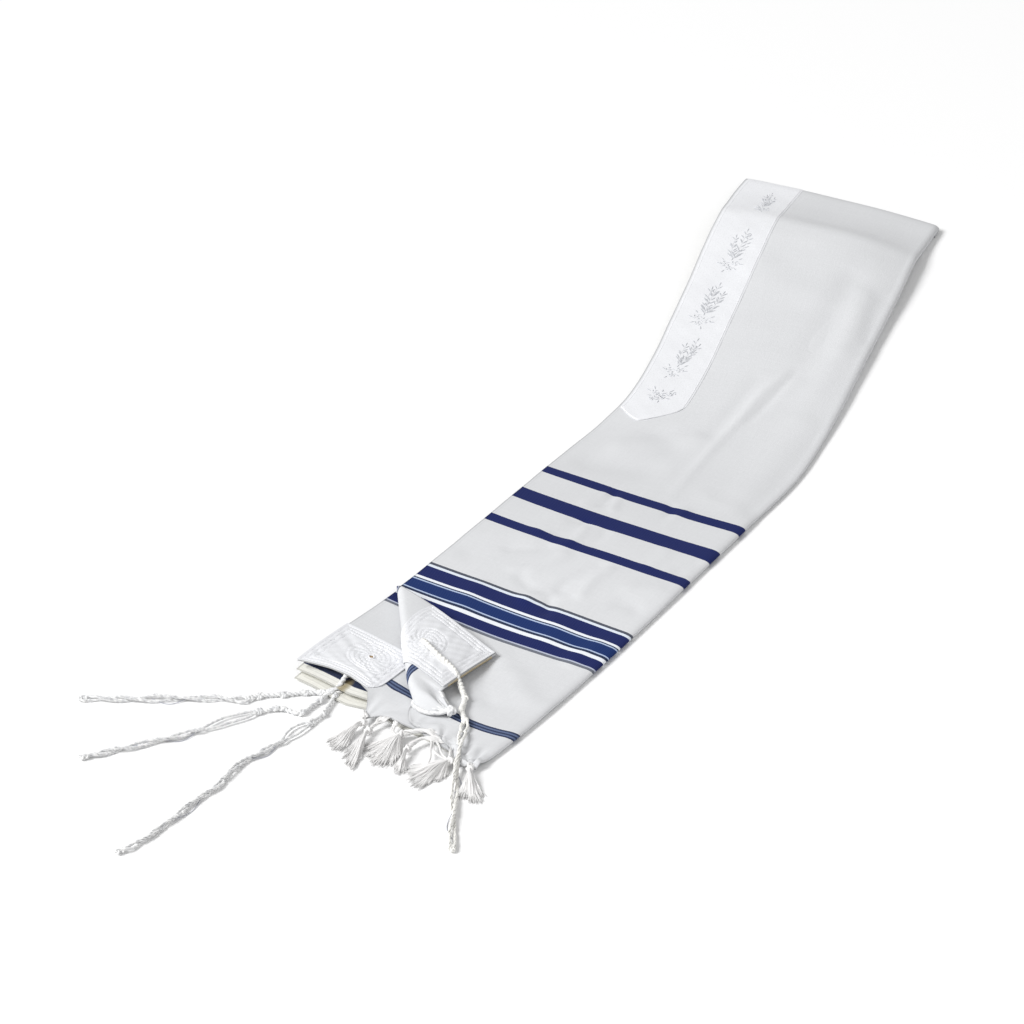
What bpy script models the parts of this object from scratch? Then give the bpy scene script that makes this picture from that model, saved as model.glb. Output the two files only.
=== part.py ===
"""Tallit (prayer shawl), folded and laid on a flat surface.

A tallit is one oblong of woven wool with striped ends, a neckband (atara)
sewn along its top edge, a square satin patch with an eyelet at each of its
four corners, a tied cord (tzitzit) through each eyelet, and knotted warp
fringe on both short ends.  Here the oblong is folded end to end and then in
half across its width, so four layers lie on each other in one long strip:
both short ends are together at the near end, the folded middle is at the
far end, and the neckband edge is on the left.  The near-left corner of the
top layer is turned back over itself.

Frame: metres, +Z up, the strip's straight part runs along +Y from the near
(fringed) end to the far (folded) end, +X is across it towards the folded
long side.  The origin is the bottom centre of the cloth's bounding box.
"""

import math

import bmesh
import bpy
import numpy as np

# ----------------------------------------------------------------- sizes (m)
MM = 0.001
CLOTH = 1.4 * MM          # wall of a woven layer
TRIM = 1.0 * MM           # wall of the neckband and the corner patches
GAP = 0.35 * MM           # clearance between layers that lie on each other
STACK = 6.6 * MM          # height of the four pressed layers
PATCH = 82.0 * MM         # side of a corner patch
ATARA_SHARE = 0.30        # neckband width as a share of the folded width
CORD_D = 7.0 * MM         # tied cord, eight strands
FOLD_R = 5.8 * MM         # radius of the turned-back corner's soft roll
ORIGIN_X = -161.3 * MM    # bottom centre of the cloth, in layout coordinates
ORIGIN_Y = 458.1 * MM

# The strip, one row a cross section, from the woven near end to the far fold.
# run: distance from the near end; lx, ly / rx, ry: left and right edge in
# plan; swell: how far the layers are lofted at that section (all in mm).
STRIP_COLUMNS = ("run", "lx", "ly", "rx", "ry", "swell")
STRIP = [
    (0.0, -220.0, -23.0, -4.0, -62.0, 0.0),
    (70.0, -219.0, 45.0, 1.0, 12.0, 0.0),
    (160.0, -217.5, 132.0, 4.0, 108.0, 0.0),
    (240.0, -217.0, 209.0, 4.5, 195.0, 0.0),
    (340.0, -216.0, 306.0, 3.0, 303.0, 0.0),
    (450.0, -215.0, 412.0, 1.5, 418.0, 0.5),
    (540.0, -213.0, 500.0, -1.5, 512.0, 1.5),
    (610.0, -217.0, 560.0, -14.0, 584.0, 3.0),
    (680.0, -232.0, 628.0, -28.5, 652.0, 5.5),
    (760.0, -253.0, 700.0, -47.0, 728.0, 9.0),
    (850.0, -278.0, 784.0, -67.0, 812.0, 13.5),
    (925.0, -299.7, 853.6, -83.2, 881.4, 17.8),
    (975.0, -314.0, 902.7, -94.8, 925.8, 19.8),
    (1000.0, -321.0, 928.0, -100.5, 948.0, 19.2),
    (1022.0, -327.3, 950.5, -104.9, 968.1, 13.6),
    (1050.0, -334.5, 979.0, -110.0, 994.0, 9.2),
    (1092.0, -341.5, 1020.0, -117.0, 1033.0, 6.5),
]

# Lofted near-left corner of the stack, where the layers part (mm).
CORNER_X, CORNER_Y = -218.0, -22.0
CORNER_LIFT, CORNER_SX, CORNER_SY = 14.0, 98.0, 112.0
MOUTH_DEPTH, MOUTH_SX, MOUTH_SY = 8.0, 58.0, 46.0

# Turned-back corner: the crease runs from the left edge to the woven end.
CREASE_A = (-206.7, 131.7)
CREASE_E = (-98.3, -17.8)
GATHER = (-62.0, -19.0, 15.0)     # where the turned hem is tied up (mm)

# Neckband: rows from its pointed near end to the far fold (run in mm, share
# of the band's width that is covered from the left edge).
ATARA_TIP = [("run", "reach"), (562.0, 0.45), (583.0, 0.90), (600.0, 1.0)]

# Second layer's woven end, where warp bunches pull it out (x, y in mm).
SECOND_HEM = [(-218.0, -22.0), (-177.0, -17.0), (-150.0, -22.0), (-139.0, -42.0),
              (-128.0, -49.0), (-114.0, -38.0), (-98.0, -38.0), (-84.0, -45.0)]

# Tied cords, each row a point of its centre line (x, y, z in mm).
TZITZIT = {
    "tzitzit_second_layer": [
        (-174.0, -14.0, 25.5), (-172.5, -24.5, 22.0), (-171.5, -31.5, 14.0),
        (-182.0, -37.5, 5.6), (-197.0, -44.5, 4.4), (-213.0, -57.5, 4.2),
        (-230.5, -75.0, 4.2), (-252.0, -91.0, 4.0), (-276.0, -104.0, 4.0),
        (-302.0, -121.0, 4.0), (-332.0, -138.0, 4.0), (-368.0, -160.0, 4.0)],
    "tzitzit_third_layer": [
        (-160.5, -33.0, 11.0), (-167.5, -42.0, 6.6), (-176.0, -53.0, 4.6),
        (-184.0, -72.5, 4.2), (-203.0, -76.5, 4.2), (-218.0, -89.5, 4.2),
        (-229.0, -112.0, 4.0), (-243.0, -139.0, 4.0), (-262.0, -165.0, 4.0),
        (-284.0, -196.0, 4.0), (-312.0, -236.0, 4.0)],
    "tzitzit_fourth_layer": [
        (-152.0, -36.0, 5.0), (-157.0, -47.0, 4.2), (-163.0, -61.0, 4.2),
        (-166.5, -82.0, 4.2), (-172.0, -105.0, 4.0), (-179.5, -142.0, 4.0),
        (-188.0, -178.0, 4.0), (-188.5, -219.0, 4.0), (-193.0, -260.0, 4.0),
        (-199.0, -305.0, 4.0), (-202.0, -338.0, 4.0)],
    "tzitzit_turned_corner": [
        (-136.0, 56.0, 31.6), (-126.0, 53.0, 31.6), (-108.0, 45.0, 30.6),
        (-90.0, 34.0, 27.6), (-73.0, 17.0, 19.0), (-60.0, -2.0, 12.6),
        (-51.0, -19.0, 12.2), (-39.0, -40.0, 11.8), (-27.0, -60.0, 10.9),
        (-14.0, -86.0, 5.0), (-3.0, -107.0, 4.0), (9.0, -129.0, 4.0),
        (22.0, -152.0, 4.0), (47.0, -190.0, 4.0)],
}

# Fringe tassels: knot end and brush end in plan, knot height, half width of
# the brush end (mm).
TASSEL_COLUMNS = ("kx", "ky", "kz", "bx", "by", "spread")
TASSELS = [
    (-132.0, -57.5, 5.5, -131.6, -101.0, 8.0),
    (-119.0, -63.5, 5.5, -104.0, -116.0, 8.0),
    (-84.0, -59.5, 5.5, -86.2, -104.0, 9.5),
    (-70.0, -71.0, 5.5, -60.0, -101.0, 5.0),
    (-33.0, -76.0, 5.5, -41.0, -112.0, 10.0),
    (-3.5, -76.0, 5.0, 17.0, -104.0, 8.0),
]


# ------------------------------------------------------------------ geometry
def columns(rows, index):
    return np.array([row[index] for row in rows], dtype=float)


def spline(knots, values, t):
    """Cubic through the table's rows, with slopes taken from the neighbours."""
    knots, values = np.asarray(knots, float), np.asarray(values, float)
    slopes = np.gradient(values, knots)
    t = min(max(t, knots[0]), knots[-1])
    i = int(min(max(np.searchsorted(knots, t) - 1, 0), len(knots) - 2))
    span = knots[i + 1] - knots[i]
    w = (t - knots[i]) / span
    h00, h10 = 2 * w**3 - 3 * w**2 + 1, w**3 - 2 * w**2 + w
    h01, h11 = -2 * w**3 + 3 * w**2, w**3 - w**2
    return (h00 * values[i] + h10 * span * slopes[i]
            + h01 * values[i + 1] + h11 * span * slopes[i + 1])


def smooth(x):
    x = min(max(x, 0.0), 1.0)
    return x * x * (3.0 - 2.0 * x)


RUN = columns(STRIP, 0)
RUN_END = RUN[-1]


def plan(u, run):
    """Plan point in mm of the strip at share u across it and run along it."""
    lx, ly, rx, ry = (spline(RUN, columns(STRIP, c), run) for c in (1, 2, 3, 4))
    return lx + (rx - lx) * u, ly + (ry - ly) * u


def corner_lift(x, y):
    """Extra height (mm) of the lofted near-left corner."""
    return CORNER_LIFT * math.exp(-((x - CORNER_X) / CORNER_SX) ** 2
                                  - ((y - CORNER_Y) / CORNER_SY) ** 2)


def patch_room(x, y):
    """Room (mm) the top layer leaves for the second layer's patch."""
    box = (smooth((-88.0 - x) / 26.0), smooth((112.0 - y) / 40.0))
    return 1.7 * box[0] * box[1]


def swell(u, run):
    """Loft (mm) of the layers, highest along the middle of the strip."""
    crown = 1.0 - abs(2.0 * u - 1.0) ** 2.4
    side = 0.62 if u < 0.5 else 0.36
    return spline(RUN, columns(STRIP, 5), run) * (side + (1.0 - side) * crown)


def top_height(u, run):
    """Height (mm) of the top layer's upper face."""
    x, y = plan(u, run)
    return STACK / MM + corner_lift(x, y) + patch_room(x, y) + swell(u, run)


def near_height(x, y):
    """The same height near the fringed end, from a plan point."""
    return STACK / MM + corner_lift(x, y) + patch_room(x, y)


CREASE_DIR = np.subtract(CREASE_E, CREASE_A)
CREASE_DIR = CREASE_DIR / np.linalg.norm(CREASE_DIR)
CREASE_OUT = np.array([CREASE_DIR[1], -CREASE_DIR[0]])   # towards the corner


def past_crease(x, y):
    """Distance (mm) of a plan point beyond the crease, towards the corner."""
    return float(np.dot(np.subtract((x, y), CREASE_A), CREASE_OUT))


def turn_back(x, y, above):
    """Carry a flat plan point over the crease; `above` is its height (mm)
    over the layer's middle, on the face that ends up on top."""
    radius = FOLD_R / MM
    d = past_crease(x, y)
    if d <= 0.0:
        return x, y, near_height(x, y) - CLOTH / MM / 2.0 - above
    foot = np.array([x, y]) - CREASE_OUT * d
    base = near_height(*foot) - CLOTH / MM / 2.0
    turn = d / radius
    if turn <= math.pi:
        reach = (radius + above)
        p = foot + CREASE_OUT * reach * math.sin(turn)
        return p[0], p[1], base + radius - reach * math.cos(turn)
    e = d - math.pi * radius
    p = foot - CREASE_OUT * e
    ground = near_height(p[0], p[1]) - CLOTH / MM / 2.0
    start = base + 2.0 * radius
    rest = ground + 4.4
    w = smooth(e / 78.0)
    return p[0], p[1], max(start * (1.0 - w) + rest * w, ground + 2.4) + above


def to_world(x, y, z):
    return ((x * MM - ORIGIN_X), (y * MM - ORIGIN_Y), z * MM)


# -------------------------------------------------------------- scene set-up
for old in list(bpy.data.objects):
    bpy.data.objects.remove(old, do_unlink=True)

PART = bpy.data.collections.new("tallit_prayer_shawl")
bpy.context.scene.collection.children.link(PART)


def material(name, colour, roughness):
    mat = bpy.data.materials.new(name)
    mat.use_nodes = True
    shader = mat.node_tree.nodes["Principled BSDF"]
    shader.inputs["Base Color"].default_value = (*colour, 1.0)
    shader.inputs["Roughness"].default_value = roughness
    shader.inputs["Metallic"].default_value = 0.0
    return mat


WOOL = (0.80, 0.80, 0.78)
SATIN = (0.88, 0.88, 0.90)


def add_object(name, mesh_or_curve, colour, roughness):
    obj = bpy.data.objects.new(name, mesh_or_curve)
    mesh_or_curve.materials.append(material(name + "_finish", colour, roughness))
    PART.objects.link(obj)
    return obj


def sheet(name, bm, place, thickness, colour, roughness):
    """A flat bmesh in plan (mm), carried to its place and given a wall."""
    for v in bm.verts:
        v.co = to_world(*place(v.co.x, v.co.y))
    bmesh.ops.recalc_face_normals(bm, faces=bm.faces[:])
    if sum(f.normal.z * f.calc_area() for f in bm.faces) < 0.0:
        bmesh.ops.reverse_faces(bm, faces=bm.faces[:])
    mesh = bpy.data.meshes.new(name)
    bm.to_mesh(mesh)
    bm.free()
    mesh.shade_smooth()
    obj = add_object(name, mesh, colour, roughness)
    wall = obj.modifiers.new("wall", "SOLIDIFY")
    wall.thickness = thickness
    wall.offset = 0.0
    wall.use_even_offset = False
    return obj


def flat_grid(us, runs, point):
    """Flat grid of plan points, quads between neighbouring rows."""
    bm = bmesh.new()
    rows = [[bm.verts.new((*point(u, r), 0.0)) for u in us] for r in runs]
    for a, b in zip(rows, rows[1:]):
        for i in range(len(us) - 1):
            bm.faces.new((a[i], a[i + 1], b[i + 1], b[i]))
    return bm


def score(bm, offsets):
    """Extra edges on lines parallel to the crease, where the cloth rolls."""
    for offset in offsets:
        origin = np.array(CREASE_A) + CREASE_OUT * offset
        bmesh.ops.bisect_plane(
            bm, geom=bm.verts[:] + bm.edges[:] + bm.faces[:], dist=0.02,
            plane_co=(origin[0], origin[1], 0.0),
            plane_no=(CREASE_OUT[0], CREASE_OUT[1], 0.0))


# --------------------------------------------------------------- top layer
ROLL = math.pi * FOLD_R / MM
ROLL_LINES = [0.0, ROLL * 0.25, ROLL * 0.5, ROLL * 0.75, ROLL]
TOP_SHORT = 10.0                    # top layer's corner stops short (mm)
SIDE_ROLL = 2.6                     # radius (mm) of the folded long side
FAR_ROLL = 2.8                      # radius (mm) of the far fold


def gather_pull(x, y):
    """How strongly (0..1) the turned hem is drawn to its knot."""
    lx, ly = plan(0.0, 0.0)
    rx, ry = plan(1.0, 0.0)
    along = (x - lx) / (rx - lx)
    behind = y - (ly + (ry - ly) * along)
    side = math.exp(-((along - 0.475) / 0.062) ** 2)
    return 0.80 * side * math.exp(-(max(behind, 0.0) / 24.0) ** 2)


def place_top(x, y, above=0.0):
    """Top layer: flat plan point to its place, corner turned back."""
    if y < 190.0:
        px, py, pz = turn_back(x, y, above)
        pull = gather_pull(x, y)
        if past_crease(x, y) > 0.0 and pull > 0.0:
            px += (GATHER[0] - px) * pull
            py += (GATHER[1] - py) * pull
            pz += (GATHER[2] - pz) * pull
        return px, py, pz
    return None


def build_top():
    us = [0.0, 0.10, 0.20, 0.30, 0.37, 0.42, 0.46, 0.50, 0.54, 0.60, 0.72, 0.86, 0.965]
    runs = [0.0, 12.0, 26.0, 42.0, 60.0, 80.0, 104.0, 130.0, 158.0, 190.0, 225.0,
            270.0, 320.0, 380.0, 440.0, 500.0, 550.0, 600.0, 650.0, 700.0, 750.0,
            800.0, 850.0, 895.0, 935.0, 965.0, 990.0, 1012.0, 1035.0, 1058.0, 1076.0]
    # each vertex keeps its flat place and its height until it is turned back
    bm = bmesh.new()
    rest = bm.verts.layers.float_vector.new("rest")
    half = CLOTH / MM / 2.0

    side_steps = [(25.0, 0.0), (62.0, 0.0), (105.0, 0.0), (150.0, 0.0)]
    far_steps = [25.0, 60.0, 100.0, 140.0]
    rows = []
    for r in runs + [("far", a) for a in far_steps]:
        far = isinstance(r, tuple)
        run = RUN_END if far else r
        row = []
        for u in us + [("side", a) for a, _ in side_steps]:
            side = isinstance(u, tuple)
            share = 1.0 if side else u
            x, y = plan(share, run)
            y += TOP_SHORT * (1.0 - smooth(run / 70.0)) * (1.0 - smooth(share / 0.5))
            z = top_height(share, run) - half
            if side:
                lx, ly = plan(0.0, run)
                across = np.array([x - lx, y - ly]) / math.hypot(x - lx, y - ly)
                radius = max((z - half) / 2.0 - 0.25, SIDE_ROLL)
                radius = min(radius, 6.0)
                angle = math.radians(u[1])
                centre = np.array([x, y]) - across * radius
                p = centre + across * radius * math.sin(angle)
                x, y = p
                low = z - radius + radius * math.cos(angle)
                z = low if angle < 1.6 else max(low, half + 0.35)
            if far:
                x0, y0 = plan(share, RUN_END - 20.0)
                x1, y1 = plan(share, RUN_END)
                along = np.array([x1 - x0, y1 - y0]) / math.hypot(x1 - x0, y1 - y0)
                radius = max((z - half) / 2.0 - 0.2, FAR_ROLL)
                angle = math.radians(r[1])
                shift = along * (radius * math.sin(angle) - radius)
                x, y = x + shift[0], y + shift[1]
                z = z - radius + radius * math.cos(angle)
                z = max(z, half + 0.35)
            v = bm.verts.new((x, y, 0.0))
            v[rest] = (x, y, z)
            row.append(v)
        rows.append(row)
    for a, b in zip(rows, rows[1:]):
        for i in range(len(a) - 1):
            bm.faces.new((a[i], a[i + 1], b[i + 1], b[i]))
    score(bm, ROLL_LINES)
    for v in bm.verts:
        x, y, z = v[rest]
        turned = place_top(x, y) if past_crease(x, y) > 0.0 else None
        if turned is None:
            turned = (x, y, z)
        v.co = to_world(*turned)
    bmesh.ops.recalc_face_normals(bm, faces=bm.faces[:])
    mesh = bpy.data.meshes.new("shawl_top_layer")
    bm.to_mesh(mesh)
    bm.free()
    mesh.shade_smooth()
    obj = add_object("shawl_top_layer", mesh, WOOL, 0.85)
    wall = obj.modifiers.new("wall", "SOLIDIFY")
    wall.thickness = CLOTH
    wall.offset = 0.0
    wall.use_even_offset = False
    return obj


build_top()


# ------------------------------------------------------------- second layer
def second_height(x, y):
    """Height (mm) of the middle of the second layer near the fringed end."""
    return (near_height(x, y) - patch_room(x, y)
            - (1.5 * CLOTH + GAP) / MM)


def second_plan(u, run):
    """Second layer in plan: its woven end follows the bunched hem."""
    x, y = plan(u, run)
    xs = [row[0] for row in SECOND_HEM]
    ys = [row[1] for row in SECOND_HEM]
    lx, ly = plan(0.0, 0.0)
    rx, ry = plan(1.0, 0.0)
    straight = ly + (ry - ly) * (x - lx) / (rx - lx)
    hem = np.interp(x, xs, ys)
    return x, y + (hem - straight) * (1.0 - smooth(run / 42.0))


def second_point(x, y):
    return x, y, second_height(x, y)


bm = flat_grid(np.linspace(0.0, 0.60, 15),
               [0.0, 10.0, 24.0, 42.0, 64.0, 90.0, 118.0, 150.0, 180.0, 205.0],
               second_plan)
sheet("shawl_second_layer", bm, second_point, CLOTH, WOOL, 0.85)


# ------------------------------------------------- hidden layers, one solid
def under_height(u, run):
    """Upper face (mm) of the solid that stands for the hidden layers."""
    x, y = plan(u, run)
    room = (CLOTH + GAP) / MM
    top = STACK / MM + corner_lift(x, y) + swell(u, run)
    second = (1.0 - smooth((run - 212.0) / 22.0)) * (1.0 - smooth((u - 0.63) / 0.10))
    mouth = MOUTH_DEPTH * math.exp(-((x - CORNER_X) / MOUTH_SX) ** 2
                                   - ((y - CORNER_Y) / MOUTH_SY) ** 2)
    return top - room - room * second - mouth - 0.3


# Edge of the hidden layers, one row a level from the floor up: share of the
# height, and how far the level is set in from the outline (mm).
LAYER_EDGE = [
    (0.0, 1.6), (0.10, 0.2), (0.26, 0.0), (0.44, 0.5), (0.52, 2.2),
    (0.60, 0.5), (0.74, 0.2), (0.90, 0.6), (1.0, 2.4),
]


def build_under():
    us = np.linspace(0.0, 1.0, 8)
    runs = [4.0, 16.0, 34.0, 60.0, 95.0, 140.0, 190.0, 214.0, 236.0, 290.0, 360.0,
            430.0, 500.0, 560.0, 620.0, 680.0, 740.0, 800.0, 850.0, 895.0, 935.0,
            965.0, 990.0, 1015.0, 1040.0, 1062.0, 1080.0]
    left_in, right_in = 0.006, 0.031
    bm = bmesh.new()

    def outline(share, run, inset):
        x, y = plan(left_in + (1.0 - left_in - right_in) * share, run)
        return x, y

    def ring(level):
        """Closed loop of vertices round the solid at one level."""
        rise, inset = LAYER_EDGE[level]
        loop = []
        spots = ([(u, runs[0]) for u in us] + [(1.0, r) for r in runs[1:]]
                 + [(u, runs[-1]) for u in us[::-1][1:]]
                 + [(0.0, r) for r in runs[::-1][1:-1]])
        for u, run in spots:
            share = left_in + (1.0 - left_in - right_in) * u
            run_in = run + (inset if run == runs[0] else 0.0) - (inset if run == runs[-1] else 0.0)
            x, y = plan(share, run_in)
            lx, ly = plan(0.0, run)
            rx, ry = plan(1.0, run)
            width = math.hypot(rx - lx, ry - ly)
            side = inset / width * ((1.0 if u == 0.0 else 0.0) - (1.0 if u == 1.0 else 0.0))
            x, y = plan(share + side, run_in)
            height = under_height(share, run)
            loop.append(bm.verts.new(to_world(x, y, height * rise)))
        return loop

    loops = [ring(level) for level in range(len(LAYER_EDGE))]
    count = len(loops[0])
    for low, high in zip(loops, loops[1:]):
        for i in range(count):
            j = (i + 1) % count
            bm.faces.new((low[i], low[j], high[j], high[i]))

    nu, nr = len(us), len(runs)

    def index(i, j):
        """Loop index of boundary grid point (column i, row j)."""
        if j == 0:
            return i
        if i == nu - 1:
            return nu - 1 + j
        if j == nr - 1:
            return nu - 1 + nr - 1 + (nu - 1 - i)
        return 2 * (nu - 1) + nr - 1 + (nr - 1 - j)

    def cap(loop, lid):
        grid = []
        for j, run in enumerate(runs):
            row = []
            for i, u in enumerate(us):
                if j in (0, nr - 1) or i in (0, nu - 1):
                    row.append(loop[index(i, j)])
                else:
                    share = left_in + (1.0 - left_in - right_in) * u
                    x, y = plan(share, run)
                    z = under_height(share, run) if lid else 0.0
                    row.append(bm.verts.new(to_world(x, y, z)))
            grid.append(row)
        for a, b in zip(grid, grid[1:]):
            for i in range(nu - 1):
                quad = (a[i], a[i + 1], b[i + 1], b[i])
                bm.faces.new(quad if lid else quad[::-1])

    cap(loops[-1], True)
    cap(loops[0], False)
    bmesh.ops.triangulate(bm, faces=bm.faces[:])
    bmesh.ops.recalc_face_normals(bm, faces=bm.faces[:])
    mesh = bpy.data.meshes.new("shawl_hidden_layers")
    bm.to_mesh(mesh)
    bm.free()
    mesh.shade_smooth()
    return add_object("shawl_hidden_layers", mesh, WOOL, 0.85)


build_under()


# ------------------------------------------------------------------ neckband
def build_atara():
    """Band along the top edge, over the top layer, with a pointed end."""
    runs = [562.0, 583.0, 600.0, 640.0, 690.0, 740.0, 790.0, 835.0, 880.0, 915.0,
            945.0, 970.0, 992.0, 1015.0, 1038.0, 1060.0, 1080.0]
    shares = [0.0, 0.22, 0.45, 0.70, 0.88, 1.0]
    tip = ATARA_TIP[1:]
    lift = (TRIM / 2.0 + GAP) / MM
    bm = bmesh.new()
    rows = []
    for run in runs:
        row = []
        for k in shares:
            u = 0.006 + (ATARA_SHARE - 0.006) * k
            # the end is a house shape: its middle reaches nearest
            start = np.interp(k, [0.0, 0.22, 0.45, 0.88, 1.0],
                              [577.0, 565.0, 556.0, 590.0, 603.0])
            w = smooth((run - 562.0) / 120.0)
            r = run if run > 682.0 else start + (682.0 - start) * (run - 562.0) / 120.0
            x, y = plan(u, r)
            row.append(bm.verts.new(to_world(x, y, top_height(u, r) + lift)))
        rows.append(row)
    for a, b in zip(rows, rows[1:]):
        for i in range(len(shares) - 1):
            bm.faces.new((a[i], a[i + 1], b[i + 1], b[i]))
    bmesh.ops.recalc_face_normals(bm, faces=bm.faces[:])
    if sum(f.normal.z for f in bm.faces) < 0.0:
        bmesh.ops.reverse_faces(bm, faces=bm.faces[:])
    mesh = bpy.data.meshes.new("neckband")
    bm.to_mesh(mesh)
    bm.free()
    mesh.shade_smooth()
    obj = add_object("neckband", mesh, SATIN, 0.45)
    wall = obj.modifiers.new("wall", "SOLIDIFY")
    wall.thickness = TRIM
    wall.offset = 0.0
    wall.use_even_offset = False


build_atara()


# ------------------------------------------------------------ corner patches
def patch_plan(a, b):
    """Square patch at the near-left corner; a across, b along (0..1)."""
    side = PATCH / MM
    lx, ly = plan(0.0, 0.0)
    rx, ry = plan(1.0, 0.0)
    width = math.hypot(rx - lx, ry - ly)
    u, run = 0.008 + a * side / width, 2.0 + b * side
    x, y = plan(u, run)
    return x, y + TOP_SHORT * (1.0 - smooth(run / 70.0)) * (1.0 - smooth(u / 0.5))


def second_patch(x, y):
    x2, y2, z2 = second_point(x, y)
    return x2, y2, z2 + (CLOTH / 2.0 + GAP + TRIM / 2.0) / MM


steps = np.linspace(0.0, 1.0, 9)
bm = flat_grid(steps, steps, lambda a, b: second_plan(
    0.008 + a * PATCH / MM / 217.0, 2.0 + b * PATCH / MM))
sheet("patch_second_layer", bm, second_patch, TRIM, SATIN, 0.5)

bm = flat_grid(steps, steps, patch_plan)
score(bm, ROLL_LINES)
far_corner = np.array(CREASE_A) + CREASE_OUT * ROLL * 0.25
bmesh.ops.bisect_plane(bm, geom=bm.verts[:] + bm.edges[:] + bm.faces[:], dist=0.02,
                       plane_co=(far_corner[0], far_corner[1], 0.0),
                       plane_no=(-CREASE_OUT[0], -CREASE_OUT[1], 0.0), clear_outer=True)
sheet("patch_turned_corner", bm,
      lambda x, y: place_top(x, y, (CLOTH / 2.0 + 3.0 * GAP + TRIM / 2.0) / MM),
      TRIM, SATIN, 0.5)


# ------------------------------------------------------------- cords, fringe
def route_points(route, step):
    """Even points on a smooth curve through a table of route points (mm)."""
    pts = np.array(route, dtype=float)
    knots = np.concatenate([[0.0], np.cumsum(np.linalg.norm(np.diff(pts, axis=0), axis=1))])
    fine = np.array([[spline(knots, pts[:, c], t) for c in range(3)]
                     for t in np.linspace(0.0, knots[-1], 400)])
    length = np.concatenate([[0.0], np.cumsum(np.linalg.norm(np.diff(fine, axis=0), axis=1))])
    count = max(int(round(length[-1] / step)), 3)
    return [[np.interp(t, length, fine[:, c]) for c in range(3)]
            for t in np.linspace(0.0, length[-1], count + 1)]


def tube(name, points, radii, colour, roughness):
    curve = bpy.data.curves.new(name, "CURVE")
    curve.dimensions = "3D"
    curve.bevel_depth = 1.0
    curve.bevel_resolution = 2
    curve.use_fill_caps = True
    line = curve.splines.new("POLY")
    line.points.add(len(points) - 1)
    for spot, p, radius in zip(line.points, points, radii):
        spot.co = (*to_world(*p), 1.0)
        spot.radius = radius * MM
    return add_object(name, curve, colour, roughness)


for name, route in TZITZIT.items():
    points = route_points(route, 2.4 * CORD_D / MM)
    tube(name, points, [CORD_D / MM / 2.0] * len(points), (0.86, 0.85, 0.82), 0.8)

for number, (kx, ky, kz, bx, by, spread) in enumerate(TASSELS, start=1):
    share = [0.0, 0.10, 0.22, 0.45, 0.72, 1.0]
    girth = [3.2, 4.3, 3.0, 0.62 * spread, 0.74 * spread, 0.62 * spread]
    points = []
    for w, g in zip(share, girth):
        points.append((kx + (bx - kx) * w, ky + (by - ky) * w, max(kz * (1 - w), g + 0.35)))
    tube("fringe_tassel_%d" % number, points, girth, (0.84, 0.84, 0.84), 0.8)
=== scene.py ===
"""Looks of the folded tallit: fine cloth shells, woven stripes, satin neckband
and corner patches, tied cords and knotted fringe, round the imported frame.

Layout coordinates are in mm: y runs along the strip from its fringed end to
its far fold, x across it, z up; world() carries them to the row frame.
"""

import math

import bpy  # noqa: E402
import numpy as np  # noqa: E402
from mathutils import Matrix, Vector  # noqa: E402

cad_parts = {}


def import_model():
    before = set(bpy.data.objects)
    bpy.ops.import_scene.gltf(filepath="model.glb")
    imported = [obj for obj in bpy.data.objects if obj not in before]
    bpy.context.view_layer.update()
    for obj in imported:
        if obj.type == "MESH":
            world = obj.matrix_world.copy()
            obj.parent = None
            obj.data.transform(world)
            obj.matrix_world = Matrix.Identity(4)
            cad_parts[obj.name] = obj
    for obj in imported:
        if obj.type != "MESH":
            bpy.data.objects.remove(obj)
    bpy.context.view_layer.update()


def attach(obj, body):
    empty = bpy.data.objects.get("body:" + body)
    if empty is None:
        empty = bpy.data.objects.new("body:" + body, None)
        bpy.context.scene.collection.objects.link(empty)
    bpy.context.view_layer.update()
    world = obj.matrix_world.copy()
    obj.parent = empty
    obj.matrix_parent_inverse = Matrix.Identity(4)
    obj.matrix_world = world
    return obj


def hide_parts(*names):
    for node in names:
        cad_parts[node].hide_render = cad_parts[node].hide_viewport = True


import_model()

# ------------------------------------------------------------------ constants
MM = 0.001
ORIGIN_X, ORIGIN_Y = -161.3, 458.1     # mm, as the CAD has them
CLOTH, TRIM, GAP, STACK = 1.4, 1.0, 0.35, 6.6
SHEET_T = 1.0                          # wall of the fine cloth shells
PATCH = 82.0
ATARA_SHARE = 0.30
FOLD_R = 5.8
CORD_D = 7.0
WIDTH = 217.5                          # folded width, mm
LENGTH = 1092.0                        # from the woven end to the far fold

# run, left edge x y, right edge x y, swell
STRIP = np.array([
    (0.0, -220.0, -23.0, -4.0, -62.0, 0.0),
    (70.0, -219.0, 45.0, 1.0, 12.0, 0.0),
    (160.0, -217.5, 132.0, 4.0, 108.0, 0.0),
    (240.0, -217.0, 209.0, 4.5, 195.0, 0.0),
    (340.0, -216.0, 306.0, 3.0, 303.0, 0.0),
    (450.0, -215.0, 412.0, 1.5, 418.0, 0.5),
    (540.0, -213.0, 500.0, -1.5, 512.0, 1.5),
    (610.0, -217.0, 560.0, -14.0, 584.0, 3.0),
    (680.0, -232.0, 628.0, -28.5, 652.0, 5.5),
    (760.0, -253.0, 700.0, -47.0, 728.0, 9.0),
    (850.0, -278.0, 784.0, -67.0, 812.0, 13.5),
    (925.0, -299.7, 853.6, -83.2, 881.4, 17.8),
    (975.0, -314.0, 902.7, -94.8, 925.8, 19.8),
    (1000.0, -321.0, 928.0, -100.5, 948.0, 19.2),
    (1022.0, -327.3, 950.5, -104.9, 968.1, 13.6),
    (1050.0, -334.5, 979.0, -110.0, 994.0, 9.2),
    (1092.0, -341.5, 1020.0, -117.0, 1033.0, 6.5),
])
RUN = STRIP[:, 0]

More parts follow.
